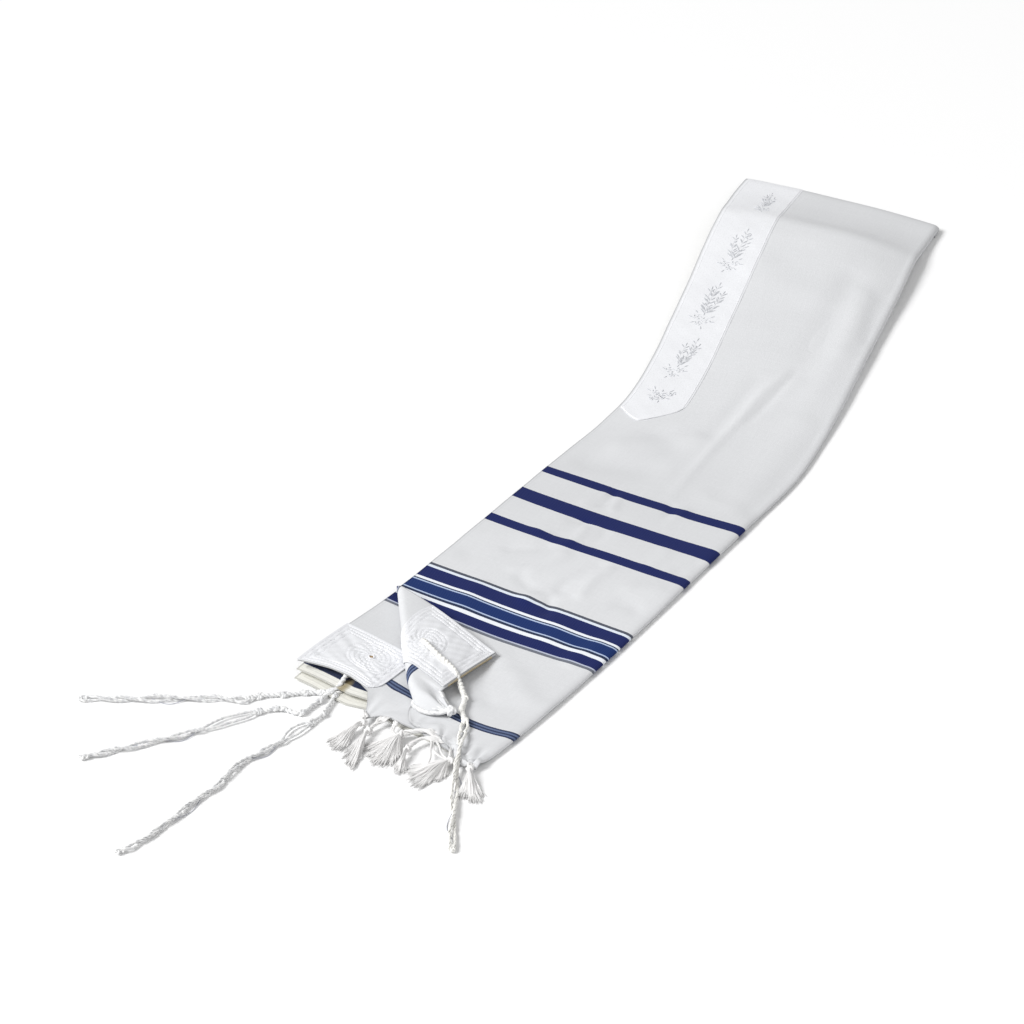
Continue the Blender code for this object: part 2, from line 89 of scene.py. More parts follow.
CORNER_X, CORNER_Y = -218.0, -22.0
CORNER_LIFT, CORNER_SX, CORNER_SY = 14.0, 98.0, 112.0
CREASE_A = np.array([-206.7, 131.7])
CREASE_E = np.array([-98.3, -17.8])
GATHER = np.array([-62.0, -19.0, 15.0])
TOP_SHORT = 10.0

# How far the weave's own measure runs ahead of the strip's run, by run (rows)
# and share across (0, 1/4, 1/2, 3/4, 1): the stripes bow a little.
BOW_U = np.array([0.0, 0.25, 0.5, 0.75, 1.0])
BOW = np.array([
    (-40.0, 8.0, 8.0, 8.0, 8.0, 6.0),
    (0.0, 9.0, 9.0, 9.0, 9.0, 3.0),
    (45.0, 9.0, 9.0, 9.0, 8.6, -2.6),
    (100.0, 7.5, 6.5, 4.5, 1.0, -9.0),
    (158.0, 6.0, 3.2, -0.6, -6.3, -14.6),
    (173.0, 6.6, 4.0, -0.8, -6.0, -13.2),
    (184.0, 6.2, 3.3, -0.7, -5.0, -11.2),
    (196.0, 5.2, 2.3, -0.6, -4.2, -9.6),
    (206.0, 4.6, 2.1, -0.6, -3.8, -8.3),
    (222.0, 3.9, 1.7, -0.4, -2.5, -4.9),
    (270.0, 1.2, 0.8, 0.0, -1.2, -2.4),
    (318.0, -1.2, -0.1, 0.0, -0.5, -0.5),
    (364.0, -4.2, -1.1, 0.1, 0.1, 0.4),
    (420.0, -5.4, -1.7, 0.3, 0.9, 0.2),
    (470.0, -2.0, -0.8, 0.2, 0.5, 0.0),
    (560.0, 0.0, 0.0, 0.0, 0.0, 0.0),
    (1100.0, 0.0, 0.0, 0.0, 0.0, 0.0),
])


# ------------------------------------------------------------------- functions
def hermite(knots, values, t):
    """Cubic through (knots, values) at t, slopes from the neighbours."""
    knots, values = np.asarray(knots, float), np.asarray(values, float)
    slopes = np.gradient(values, knots)
    t = np.clip(np.asarray(t, float), knots[0], knots[-1])
    i = np.clip(np.searchsorted(knots, t) - 1, 0, len(knots) - 2)
    span = knots[i + 1] - knots[i]
    w = (t - knots[i]) / span
    h00, h10 = 2 * w**3 - 3 * w**2 + 1, w**3 - 2 * w**2 + w
    h01, h11 = -2 * w**3 + 3 * w**2, w**3 - w**2
    return (h00 * values[i] + h10 * span * slopes[i]
            + h01 * values[i + 1] + h11 * span * slopes[i + 1])


def smooth(x):
    x = np.clip(x, 0.0, 1.0)
    return x * x * (3.0 - 2.0 * x)


def plan(u, run):
    lx, ly, rx, ry = (hermite(RUN, STRIP[:, c], run) for c in (1, 2, 3, 4))
    return lx + (rx - lx) * u, ly + (ry - ly) * u


def corner_lift(x, y):
    return CORNER_LIFT * np.exp(-((x - CORNER_X) / CORNER_SX) ** 2
                                - ((y - CORNER_Y) / CORNER_SY) ** 2)


def patch_room(x, y):
    return 1.7 * smooth((-88.0 - x) / 26.0) * smooth((112.0 - y) / 40.0)


def swell(u, run):
    crown = 1.0 - np.abs(2.0 * u - 1.0) ** 2.4
    side = np.where(u < 0.5, 0.62, 0.36)
    return hermite(RUN, STRIP[:, 5], run) * (side + (1.0 - side) * crown)


def top_height(u, run):
    x, y = plan(u, run)
    return STACK + corner_lift(x, y) + patch_room(x, y) + swell(u, run)


def near_height(x, y):
    return STACK + corner_lift(x, y) + patch_room(x, y)


CREASE_DIR = (CREASE_E - CREASE_A) / np.linalg.norm(CREASE_E - CREASE_A)
CREASE_OUT = np.array([CREASE_DIR[1], -CREASE_DIR[0]])


def past_crease(x, y):
    return (x - CREASE_A[0]) * CREASE_OUT[0] + (y - CREASE_A[1]) * CREASE_OUT[1]


def weave_run(u, run):
    """Distance from the woven end as the cloth was woven, in mm."""
    cols = [hermite(BOW[:, 0], BOW[:, 1 + c], run) for c in range(5)]
    total = 0.0
    for k in range(5):
        term = cols[k]
        for j in range(5):
            if j != k:
                term = term * (u - BOW_U[j]) / (BOW_U[k] - BOW_U[j])
        total = total + term
    return run + total


def world(points):
    p = np.asarray(points, float).copy()
    p[..., 0] -= ORIGIN_X
    p[..., 1] -= ORIGIN_Y
    return p * MM


def rng(seed):
    return np.random.default_rng(seed)


def waves(x, y, seed, lengths, height):
    """Soft unevenness: a few crossed sine waves of the given lengths (mm)."""
    r = rng(seed)
    total = np.zeros(np.broadcast(x, y).shape)
    for length in lengths:
        a, p = r.uniform(0.0, 2.0 * math.pi), r.uniform(0.0, 2.0 * math.pi)
        k = 2.0 * math.pi / length
        total = total + np.sin(k * (x * math.cos(a) + y * math.sin(a)) + p)
    return height * total / len(lengths)


# Soft ridges and troughs laid on the top layer:
# x0, y0, x1, y1 (share across in mm, run in mm), half width, height (mm).
FOLDS = [
    (160.0, 700.0, 168.0, 930.0, 16.0, -0.9),
    (44.0, 545.0, 100.0, 520.0, 17.0, -1.2),
    (20.0, 455.0, 96.0, 486.0, 17.0, -1.3),
    (30.0, 500.0, 110.0, 556.0, 13.0, 1.2),
    (216.0, 640.0, 212.0, 450.0, 13.0, -1.1),
    (184.0, 640.0, 190.0, 470.0, 18.0, 0.8),
    (148.0, 470.0, 200.0, 452.0, 12.0, 0.7),
    (81.0, 432.0, 80.0, 396.0, 5.5, -0.8),
    (92.0, 428.0, 90.0, 394.0, 5.5, 0.8),
    (70.0, 426.0, 68.0, 392.0, 5.5, 0.7),
    (82.0, 372.0, 74.0, 328.0, 6.5, -0.9),
    (93.0, 360.0, 84.0, 318.0, 6.5, 0.9),
    (64.0, 362.0, 56.0, 322.0, 7.0, 0.8),
    (112.0, 366.0, 104.0, 330.0, 6.0, -0.6),
    (143.0, 436.0, 141.0, 398.0, 5.0, -0.7),
    (152.0, 434.0, 150.0, 398.0, 6.0, 0.7),
    (170.0, 366.0, 176.0, 326.0, 8.0, 0.6),
    (209.0, 366.0, 205.0, 330.0, 8.0, -0.8),
    (134.0, 314.0, 124.0, 250.0, 6.5, -1.0),
    (148.0, 312.0, 140.0, 252.0, 7.0, 1.1),
    (76.0, 318.0, 48.0, 280.0, 7.0, -0.8),
    (100.0, 312.0, 70.0, 254.0, 8.0, 0.9),
    (46.0, 312.0, 18.0, 250.0, 13.0, -0.8),
    (79.0, 264.0, 96.0, 238.0, 7.0, -0.9),
    (176.0, 262.0, 205.0, 270.0, 10.0, -0.9),
    (168.0, 292.0, 210.0, 300.0, 11.0, 0.8),
    (109.0, 240.0, 110.0, 216.0, 9.0, 1.6),
    (130.0, 240.0, 129.0, 212.0, 6.0, -1.1),
    (60.0, 226.0, 66.0, 170.0, 12.0, 0.7),
    (150.0, 218.0, 156.0, 168.0, 14.0, 0.8),
    (196.0, 214.0, 198.0, 160.0, 10.0, 1.0),
    (160.0, 128.0, 206.0, 92.0, 13.0, 1.1),
    (128.0, 120.0, 176.0, 70.0, 11.0, -1.0),
    (130.0, 150.0, 158.0, 112.0, 12.0, 0.8),
    (60.0, 880.0, 190.0, 850.0, 30.0, 0.9),
    (30.0, 820.0, 48.0, 930.0, 16.0, -0.8),
    (186.0, 760.0, 190.0, 900.0, 13.0, 0.9),
    (88.0, 905.0, 96.0, 968.0, 18.0, -0.7),
    (206.0, 800.0, 208.0, 900.0, 9.0, -0.8),
]


# Longer curved creases: points (share across mm, run mm), half width, height.
CREASES = [
    (((149.0, 716.0), (141.0, 688.0), (131.0, 650.0), (125.5, 600.0), (121.5, 548.0),
      (124.0, 500.0), (131.0, 436.0)), 6.0, 1.25),
    (((156.0, 716.0), (149.0, 676.0), (142.0, 634.0), (136.0, 596.0)), 5.0, -0.8),
    (((123.0, 694.0), (117.0, 650.0), (112.0, 600.0), (108.0, 560.0)), 9.0, -1.0),
    (((172.0, 960.0), (166.0, 880.0), (160.0, 800.0), (154.0, 735.0)), 15.0, -0.8),
    (((190.0, 900.0), (192.0, 800.0), (187.0, 700.0), (180.0, 620.0)), 13.0, 0.7),
]


def crease(s, run, points, half, height):
    """Height of one curved crease at (s, run)."""
    pts = np.array(points, float)
    knots = np.arange(len(pts), dtype=float)
    at = np.linspace(0.0, knots[-1], 12 * (len(pts) - 1) + 1)
    line = np.stack([hermite(knots, pts[:, c], at) for c in (0, 1)], 1)
    far = np.full(np.shape(s + run), 1.0e9)
    share = np.zeros(np.shape(s + run))
    for k in range(len(line) - 1):
        step = line[k + 1] - line[k]
        w = ((s - line[k][0]) * step[0] + (run - line[k][1]) * step[1]) / step.dot(step)
        w = np.clip(w, 0.0, 1.0)
        gap = (s - line[k][0] - w * step[0]) ** 2 + (run - line[k][1] - w * step[1]) ** 2
        share = np.where(gap < far, (k + w) / (len(line) - 1.0), share)
        far = np.minimum(gap, far)
    return height * np.sin(math.pi * np.clip(share, 0.0, 1.0)) ** 0.6 * np.exp(-far / half**2)


def relief(s, run):
    """Extra height (mm) of the top layer from its soft creases."""
    total = waves(s, run, 5, (61.0, 83.0, 118.0, 171.0, 240.0), 0.55)
    for points, half, height in CREASES:
        total = total + crease(s, run, points, half, height)
    for x0, y0, x1, y1, half, height in FOLDS:
        dx, dy = x1 - x0, y1 - y0
        long = math.hypot(dx, dy)
        along = ((s - x0) * dx + (run - y0) * dy) / long
        bend = 4.0 * np.sin(along / long * math.pi * 1.3 + x0)
        off = ((s - x0) * dy - (run - y0) * dx) / long + bend
        ends = smooth((along + 0.6 * half) / (1.6 * half)) * smooth(
            (long + 0.6 * half - along) / (1.6 * half))
        total = total + height * ends * np.exp(-(off / half) ** 2)
    return 1.2 * total * smooth((run - 20.0) / 60.0)


# ------------------------------------------------------------- mesh builders
def add_mesh(name, verts, faces, flat=None, sharp=50.0):
    mesh = bpy.data.meshes.new(name)
    mesh.from_pydata(verts, [], faces)
    mesh.update()
    if flat is not None:
        layer = mesh.attributes.new("flat", "FLOAT_VECTOR", "POINT")
        layer.data.foreach_set("vector", np.asarray(flat, np.float32).ravel())
    mesh.shade_smooth()
    if sharp:
        mesh.set_sharp_from_angle(angle=math.radians(sharp))
    obj = bpy.data.objects.new(name, mesh)
    bpy.context.scene.collection.objects.link(obj)
    return obj


def grid_normals(p):
    du = np.gradient(p, axis=1)
    dv = np.gradient(p, axis=0)
    n = np.cross(du, dv)
    return n / np.maximum(np.linalg.norm(n, axis=2, keepdims=True), 1e-9)


def shell(name, p, flat, thick, normals=None):
    """Closed thin shell round the middle surface p (rows, columns, 3) in mm."""
    n = grid_normals(p) if normals is None else normals
    rows, cols = p.shape[:2]
    top = p + n * (thick / 2.0)
    low = p - n * (thick / 2.0)
    verts = np.concatenate([top.reshape(-1, 3), low.reshape(-1, 3)])
    marks = np.concatenate([flat.reshape(-1, 3), flat.reshape(-1, 3)])
    count = rows * cols
    idx = np.arange(count).reshape(rows, cols)
    a, b, c, d = idx[:-1, :-1], idx[:-1, 1:], idx[1:, 1:], idx[1:, :-1]
    up = np.stack([a, b, c, d], -1).reshape(-1, 4)
    down = np.stack([a, d, c, b], -1).reshape(-1, 4) + count
    ring = np.concatenate([idx[0, :-1], idx[:-1, -1], idx[-1, :0:-1], idx[:0:-1, 0]])
    nxt = np.roll(ring, -1)
    rim = np.stack([nxt, ring, ring + count, nxt + count], -1)
    faces = np.concatenate([up, down, rim]).tolist()
    return add_mesh(name, world(verts).tolist(), faces, marks)


def frames(path):
    """Tangents and two turning-free normals along a path (n, 3)."""
    t = np.gradient(path, axis=0)
    t /= np.maximum(np.linalg.norm(t, axis=1, keepdims=True), 1e-9)
    ref = np.array([0.0, 0.0, 1.0])
    if abs(t[0] @ ref) > 0.9:
        ref = np.array([1.0, 0.0, 0.0])
    n = np.cross(t[0], ref)
    n /= np.linalg.norm(n)
    normals = [n]
    for i in range(1, len(path)):
        n = n - t[i] * (n @ t[i])
        n /= max(np.linalg.norm(n), 1e-9)
        normals.append(n)
    n = np.array(normals)
    return t, n, np.cross(t, n)


class Strands:
    """Many thin tubes joined into one mesh."""

    def __init__(self):
        self.verts, self.faces, self.count = [], [], 0

    def add(self, path, radius, sides=5, twist=0.0):
        path = np.asarray(path, float)
        n = len(path)
        radius = np.broadcast_to(np.asarray(radius, float), (n,))
        _, a, b = frames(path)
        angle = np.arange(sides) * 2.0 * math.pi / sides + twist
        ring = (a[:, None, :] * np.cos(angle)[None, :, None]
                + b[:, None, :] * np.sin(angle)[None, :, None])
        v = path[:, None, :] + ring * radius[:, None, None]
        self.verts.append(v.reshape(-1, 3))
        idx = np.arange(n * sides).reshape(n, sides) + self.count
        nxt = np.roll(idx, -1, axis=1)
        quads = np.stack([idx[:-1], nxt[:-1], nxt[1:], idx[1:]], -1).reshape(-1, 4)
        self.faces += quads.tolist()
        self.faces.append(idx[0][::-1].tolist())
        self.faces.append(idx[-1].tolist())
        self.count += n * sides

    def build(self, name, sharp=None):
        verts = np.concatenate(self.verts)
        obj = add_mesh(name, world(verts).tolist(), self.faces, None, sharp)
        return obj


def resample(points, step=None, count=None):
    """Even points on a smooth curve through route points."""
    pts = np.array(points, float)
    knots = np.concatenate([[0.0], np.cumsum(np.linalg.norm(np.diff(pts, axis=0), axis=1))])
    t = np.linspace(0.0, knots[-1], 600)
    fine = np.stack([hermite(knots, pts[:, c], t) for c in range(3)], 1)
    long = np.concatenate([[0.0], np.cumsum(np.linalg.norm(np.diff(fine, axis=0), axis=1))])
    if count is None:
        count = max(int(round(long[-1] / step)), 3) + 1
    at = np.linspace(0.0, long[-1], count)
    return np.stack([np.interp(at, long, fine[:, c]) for c in range(3)], 1), at


# ------------------------------------------------------------------ materials
class Nodes:
    """Short hand for building a node tree."""

    def __init__(self, name):
        self.mat = bpy.data.materials.new(name)
        self.mat.use_nodes = True
        self.tree = self.mat.node_tree
        self.shader = self.tree.nodes["Principled BSDF"]

    def node(self, kind, **settings):
        made = self.tree.nodes.new(kind)
        for key, value in settings.items():
            setattr(made, key, value)
        return made

    def link(self, a, b):
        self.tree.links.new(a, b)

    def value(self, socket, value):
        if isinstance(value, (int, float, tuple)):
            socket.default_value = value
        else:
            self.link(value, socket)

    def math(self, op, a, b=0.0, c=None, clamp=False):
        made = self.node("ShaderNodeMath", operation=op, use_clamp=clamp)
        self.value(made.inputs[0], a)
        self.value(made.inputs[1], b)
        if c is not None:
            self.value(made.inputs[2], c)
        return made.outputs[0]

    def mix(self, fac, a, b, blend="MIX"):
        made = self.node("ShaderNodeMix", data_type="RGBA", blend_type=blend)
        self.value(made.inputs[0], fac)
        self.value(made.inputs[6], a)
        self.value(made.inputs[7], b)
        return made.outputs[2]

    def noise(self, vector, scale, detail=2.0, rough=0.5):
        made = self.node("ShaderNodeTexNoise")
        self.link(vector, made.inputs["Vector"])
        made.inputs["Scale"].default_value = scale
        made.inputs["Detail"].default_value = detail
        made.inputs["Roughness"].default_value = rough
        return made.outputs["Fac"]

    def combine(self, x, y, z):
        made = self.node("ShaderNodeCombineXYZ")
        for socket, value in zip(made.inputs, (x, y, z)):
            self.value(socket, value)
        return made.outputs[0]

    def flat(self):
        made = self.node("ShaderNodeAttribute", attribute_name="flat")
        split = self.node("ShaderNodeSeparateXYZ")
        self.link(made.outputs["Vector"], split.inputs[0])
        return split.outputs[0], split.outputs[1], split.outputs[2]

    def bump(self, height, strength, distance, normal=None):
        made = self.node("ShaderNodeBump")
        made.inputs["Strength"].default_value = strength
        made.inputs["Distance"].default_value = distance
        self.link(height, made.inputs["Height"])
        if normal is not None:
            self.link(normal, made.inputs["Normal"])
        return made.outputs["Normal"]


def srgb(r, g, b):
    def lin(v):
        v /= 255.0
        return v / 12.92 if v <= 0.04045 else ((v + 0.055) / 1.055) ** 2.4
    return (lin(r), lin(g), lin(b), 1.0)


WHITE_WOOL = srgb(220, 221, 223)
# ground of the inner layers: a lighter, cream-tinted copy of the white wool; the cream is painted warm shade
SHADE_TINTED_WOOL = srgb(240, 239, 232)
NAVY = srgb(14, 29, 90)
BLUE = srgb(8, 43, 102)
INK = srgb(34, 46, 76)
GREY_LINE = srgb(80, 84, 96)
GREY_SOFT = srgb(112, 116, 126)
PALE = srgb(190, 196, 214)
PALE_EDGE = srgb(226, 233, 243)
ICE = srgb(182, 198, 226)
GREY_BLUE = srgb(98, 112, 144)
GREY_DARK = srgb(44, 54, 84)
BRIGHT = srgb(240, 244, 250)

# Woven stripes: start in mm from the woven end, and the yarn from there on.
STRIPES = [
    (0.0, WHITE_WOOL),
    (43.6, GREY_DARK), (45.4, GREY_BLUE), (47.4, GREY_DARK), (48.4, GREY_BLUE),
    (50.7, GREY_DARK), (52.4, WHITE_WOOL),
    (152.7, GREY_SOFT), (155.4, PALE), (157.9, NAVY),
    (171.9, BRIGHT), (175.8, INK), (180.0, ICE), (182.8, BLUE),
    (196.0, ICE), (197.9, INK), (199.6, BRIGHT), (203.0, NAVY),
    (221.3, PALE_EDGE), (225.0, GREY_LINE), (228.2, WHITE_WOOL),
    (318.0, NAVY), (329.2, WHITE_WOOL),
    (364.2, NAVY), (384.6, WHITE_WOOL),
    (420.0, NAVY), (431.4, WHITE_WOOL),
]
RAMP_LONG = 450.0
# where the painted brown shadow lies on the third layer: s and t in mm
PAINTED_SHADOW_SPOT = (3052.0, 39.0)


# Painted light and shade along the weave: lighter over the raised far stretch, darker mid-strip and past the
# far crest, darkest at the far edge. Each entry gives mm from the woven end and a share of white.
LIGHT_AND_SHADE_ALONG = [(0.0, 0.97), (120.0, 0.965), (235.0, 0.975), (275.0, 0.985), (312.0, 0.95), (350.0, 0.94),
       (410.0, 0.915), (450.0, 0.92), (520.0, 0.95), (600.0, 0.985), (760.0, 1.01), (860.0, 1.035),
       (965.0, 1.035), (985.0, 1.01), (1004.0, 0.945),
       (1045.0, 0.95), (1080.0, 0.97), (1094.0, 0.80), (1100.0, 0.74)]


def wool(name, inner=False):
    m = Nodes(name)
    s, t, edge_at = m.flat()
    place = m.combine(s, t, 0.0)
    # thread by thread unevenness
    across = m.noise(m.combine(m.math("MULTIPLY", s, 0.035), m.math("MULTIPLY", t, 1.05), 0.0), 1.0, 2.0)
    along = m.noise(m.combine(m.math("MULTIPLY", s, 1.05), m.math("MULTIPLY", t, 0.035), 3.0), 1.0, 2.0)
    broad = m.noise(place, 0.012, 3.0, 0.55)
    edge = m.noise(m.combine(m.math("MULTIPLY", s, 0.9), m.math("MULTIPLY", t, 0.05), 7.0), 1.0, 1.0)
    wobble = m.math("MULTIPLY", m.math("SUBTRACT", edge, 0.5), 0.5)
    at = m.math("DIVIDE", m.math("ADD", t, wobble), RAMP_LONG)
    ramp = m.node("ShaderNodeValToRGB")
    ramp.color_ramp.interpolation = "CONSTANT"
    stops = ramp.color_ramp.elements
    while len(stops) > 1:
        stops.remove(stops[-1])
    stops[0].position = 0.0
    # the inner layers take the copy tinted with painted warm shade
    ground = SHADE_TINTED_WOOL if inner else WHITE_WOOL
    stops[0].color = ground
    for start, shade in STRIPES[1:]:
        made = stops.new(start / RAMP_LONG)
        made.color = ground if shade == WHITE_WOOL else shade
        # in the inner layers the grey-blue stripe is painted darker, as shade
        if inner and shade == GREY_BLUE:
            made.color = srgb(40, 47, 70)
    m.link(at, ramp.inputs[0])
    colour = ramp.outputs[0]
    # twill lines in the coloured yarn
    slant = m.math("ADD", m.math("MULTIPLY", s, 0.9), m.math("MULTIPLY", t, 0.9))
    twill = m.math("SINE", m.math("MULTIPLY", slant, 3.6))
    twill = m.math("MULTIPLY_ADD", twill, 0.5, 0.5)
    dark = m.node("ShaderNodeSeparateColor")
    m.link(colour, dark.inputs[0])
    amount = m.math("MULTIPLY", m.math("SUBTRACT", 0.7, dark.outputs[0], clamp=True), 0.045)
    lit = m.math("MULTIPLY", twill, amount)
    colour = m.mix(lit, colour, srgb(190, 198, 222))
    mottle = m.noise(m.combine(m.math("MULTIPLY", s, 0.34), m.math("MULTIPLY", t, 0.26), 11.0), 1.0,
                     3.0, 0.6)
    tone = m.math("ADD", m.math("MULTIPLY", across, 0.07), m.math("MULTIPLY", along, 0.07))
    tone = m.math("ADD", tone, m.math("MULTIPLY", broad, 0.04))
    tone = m.math("ADD", tone, m.math("MULTIPLY", mottle, 0.06))
    tone = m.math("ADD", tone, 0.882)
    # painted light and shade along the strip: the white is scaled by the table above
    shade_ramp = m.node("ShaderNodeValToRGB")
    shade_ramp.color_ramp.interpolation = "B_SPLINE"
    marks = shade_ramp.color_ramp.elements
    while len(marks) > 1:
        marks.remove(marks[-1])
    marks[0].position = 0.0
    marks[0].color = (LIGHT_AND_SHADE_ALONG[0][1],) * 3 + (1.0,)
    for at_run, share in LIGHT_AND_SHADE_ALONG[1:]:
        made = marks.new(at_run / 1100.0)
        made.color = (share,) * 3 + (1.0,)
    m.link(m.math("DIVIDE", t, 1100.0), shade_ramp.inputs[0])
    tone = m.math("MULTIPLY", tone, shade_ramp.outputs[0])
    # painted shade darkening the cloth toward its edges, and a faint line of sewing inside them
    rim = m.math("SMOOTH_MIN", m.math("DIVIDE", edge_at, 1.9), 1.0, 0.2, clamp=True)
    tone = m.math("MULTIPLY", tone, m.math("MULTIPLY_ADD", rim, 0.36, 0.64))
    sewn = m.math("ABSOLUTE", m.math("SUBTRACT", edge_at, 3.4))
    sewn = m.math("SUBTRACT", 1.0, m.math("DIVIDE", sewn, 0.6), clamp=True)
    tone = m.math("MULTIPLY", tone, m.math("MULTIPLY_ADD", sewn, -0.07, 1.0))
    if inner:
        rows = m.math("SINE", m.math("MULTIPLY", edge_at, 2.0 * math.pi / 5.2))
        rows = m.math("MULTIPLY", m.math("SUBTRACT", rows, 0.3), 1.4, clamp=True)
        fade = m.math("SUBTRACT", 1.0, m.math("DIVIDE", edge_at, 19.0), clamp=True)
        tone = m.math("SUBTRACT", tone, m.math("MULTIPLY", m.math("MULTIPLY", rows, fade), 0.16))
    grey = m.node("ShaderNodeCombineColor")
    for socket in grey.inputs[:3]:
        m.link(tone, socket)
    mixed = m.mix(1.0, colour, grey.outputs[0], "MULTIPLY")
    if inner:
        # painted brown shadow beside the cords, under the raised corner
        ds = m.math("DIVIDE", m.math("SUBTRACT", s, PAINTED_SHADOW_SPOT[0]), 6.0)
        dt = m.math("DIVIDE", m.math("SUBTRACT", t, PAINTED_SHADOW_SPOT[1]), 17.0)
        reach = m.math("ADD", m.math("MULTIPLY", ds, ds), m.math("MULTIPLY", dt, dt))
        shadow_spot = m.math("SUBTRACT", 1.0, reach, clamp=True)
        shadow_spot = m.math("MULTIPLY", shadow_spot, m.math("MULTIPLY_ADD", across, 0.5, 0.62), clamp=True)
        mixed = m.mix(shadow_spot, mixed, srgb(146, 132, 92))
    m.link(mixed, m.shader.inputs["Base Color"])
    # plain weave: crossing threads
    pitch = 2.0 * math.pi / 0.95
    a = m.math("SINE", m.math("MULTIPLY", s, pitch))
    b = m.math("SINE", m.math("MULTIPLY", t, pitch))
    weave = m.math("MULTIPLY", a, b)
    slub = m.math("ADD", across, along)
    height = m.math("ADD", m.math("MULTIPLY", weave, 0.35), m.math("MULTIPLY", slub, 1.1))
    height = m.math("ADD", height, m.math("MULTIPLY", mottle, 1.6))
    m.link(m.bump(height, 0.40, 0.0003), m.shader.inputs["Normal"])
    m.shader.inputs["Roughness"].default_value = 0.88
    m.shader.inputs["Sheen Weight"].default_value = 0.05
    m.shader.inputs["Sheen Roughness"].default_value = 0.5
    m.shader.inputs["Specular IOR Level"].default_value = 0.12
    return m.mat


def satin(name, base, speckled=0.0):
    """White satin; t and s in mm from the flat attribute."""
    m = Nodes(name)
    s, t, _ = m.flat()
    fine = m.noise(m.combine(m.math("MULTIPLY", s, 2.2), m.math("MULTIPLY", t, 0.16), 1.0), 1.0, 2.0)
    broad = m.noise(m.combine(s, t, 5.0), 0.05, 3.0, 0.5)
    tone = m.math("ADD", m.math("MULTIPLY", fine, 0.05), m.math("MULTIPLY", broad, 0.04))
    tone = m.math("ADD", tone, 0.955)
    # figured ground: small matt specks among the shiny threads
    speck = m.noise(m.combine(m.math("MULTIPLY", s, 0.75), m.math("MULTIPLY", t, 0.5), 9.0), 1.0, 2.0)
    speck = m.math("MULTIPLY", m.math("SUBTRACT", speck, 0.52), 7.0, clamp=True)
    tone = m.math("SUBTRACT", tone, m.math("MULTIPLY", speck, speckled))
    grey = m.node("ShaderNodeCombineColor")
    for socket in grey.inputs[:3]:
        m.link(tone, socket)
    mixed = m.mix(1.0, base, grey.outputs[0], "MULTIPLY")
    m.link(mixed, m.shader.inputs["Base Color"])
    pitch = 2.0 * math.pi / 0.8
    a = m.math("SINE", m.math("MULTIPLY", m.math("ADD", s, m.math("MULTIPLY", t, 0.33)), pitch))
    height = m.math("ADD", m.math("MULTIPLY", a, 0.2), m.math("MULTIPLY", fine, 1.0))
    height = m.math("ADD", height, m.math("MULTIPLY", broad, 1.5))
    m.link(m.bump(height, 0.25, 0.0003), m.shader.inputs["Normal"])
    rough = m.math("MULTIPLY_ADD", broad, 0.18, 0.34)
    m.link(rough, m.shader.inputs["Roughness"])
    m.shader.inputs["Sheen Weight"].default_value = 0.15
    m.shader.inputs["Sheen Roughness"].default_value = 0.35
    m.shader.inputs["Specular IOR Level"].default_value = 0.5
    return m.mat


def yarn(name, colour, second=None, rough=0.85, grain=900.0, bump=0.35, sheen=0.25, low=None,
         patch=(60.0, 0.9, -0.1)):
    """Cotton or wool thread: fine fibre noise in object space."""
    m = Nodes(name)
    where = m.node("ShaderNodeTexCoord").outputs["Object"]
    fibre = m.noise(where, grain, 3.0, 0.6)
    broad = m.noise(where, patch[0], 2.0, 0.5)
    mixed = m.mix(m.math("MULTIPLY_ADD", broad, patch[1], patch[2], clamp=True),
                  colour, second if second else colour)
    tone = m.math("MULTIPLY_ADD", fibre, 0.12, 0.92)
    if low:
        # painted shade: the yarns nearest the table are made greyer, in patches
        height = m.node("ShaderNodeSeparateXYZ")
        m.link(where, height.inputs[0])
        near = m.math("MULTIPLY", m.math("SUBTRACT", low[0], height.outputs[2]), 1.0 / low[0],
                      clamp=True)
        patchy = m.math("MULTIPLY_ADD", broad, 1.6, -0.1, clamp=True)
        tone = m.math("SUBTRACT", tone, m.math("MULTIPLY", m.math("MULTIPLY", near, patchy), low[1]))
    grey = m.node("ShaderNodeCombineColor")
    for socket in grey.inputs[:3]:
        m.link(tone, socket)
    m.link(m.mix(1.0, mixed, grey.outputs[0], "MULTIPLY"), m.shader.inputs["Base Color"])
    m.link(m.bump(fibre, bump, 0.0004), m.shader.inputs["Normal"])
    m.shader.inputs["Roughness"].default_value = rough
    m.shader.inputs["Sheen Weight"].default_value = sheen
    m.shader.inputs["Specular IOR Level"].default_value = 0.25
    return m.mat


WOOL = wool("striped_wool")
# copy of the wool for the inner layers, with painted shade: a cream-tinted ground, a darker grey-blue stripe
# and a brown shadow beside the cords
SHADED_INNER_WOOL = wool("striped_wool_inside_painted_shade", inner=True)
SATIN = satin("white_satin", srgb(238, 239, 242), 0.09)
PATCH_SATIN = satin("white_patch_satin", srgb(234, 235, 238), 0.06)
CORD = yarn("tzitzit_wool", srgb(251, 251, 250), srgb(198, 199, 202), patch=(290.0, 2.1, -0.66))
CORD_BRIGHT = yarn("tzitzit_wool_bright", srgb(253, 252, 248), srgb(226, 225, 221), patch=(160.0, 1.2, -0.25))
# greyer copy of the cord wool for the loose threads: painted shade
SHADED_STRAY_WOOL = yarn("stray_wool_painted_shade", srgb(186, 188, 198), srgb(158, 160, 172))
# fringe yarn with painted shade greying it within 3.4 mm of the table
FRINGE = yarn("fringe_wool", srgb(247, 246, 245), srgb(226, 225, 225), low=(0.0034, 0.36))
SEWING = yarn("sewing_thread", srgb(247, 247, 250), rough=0.5)
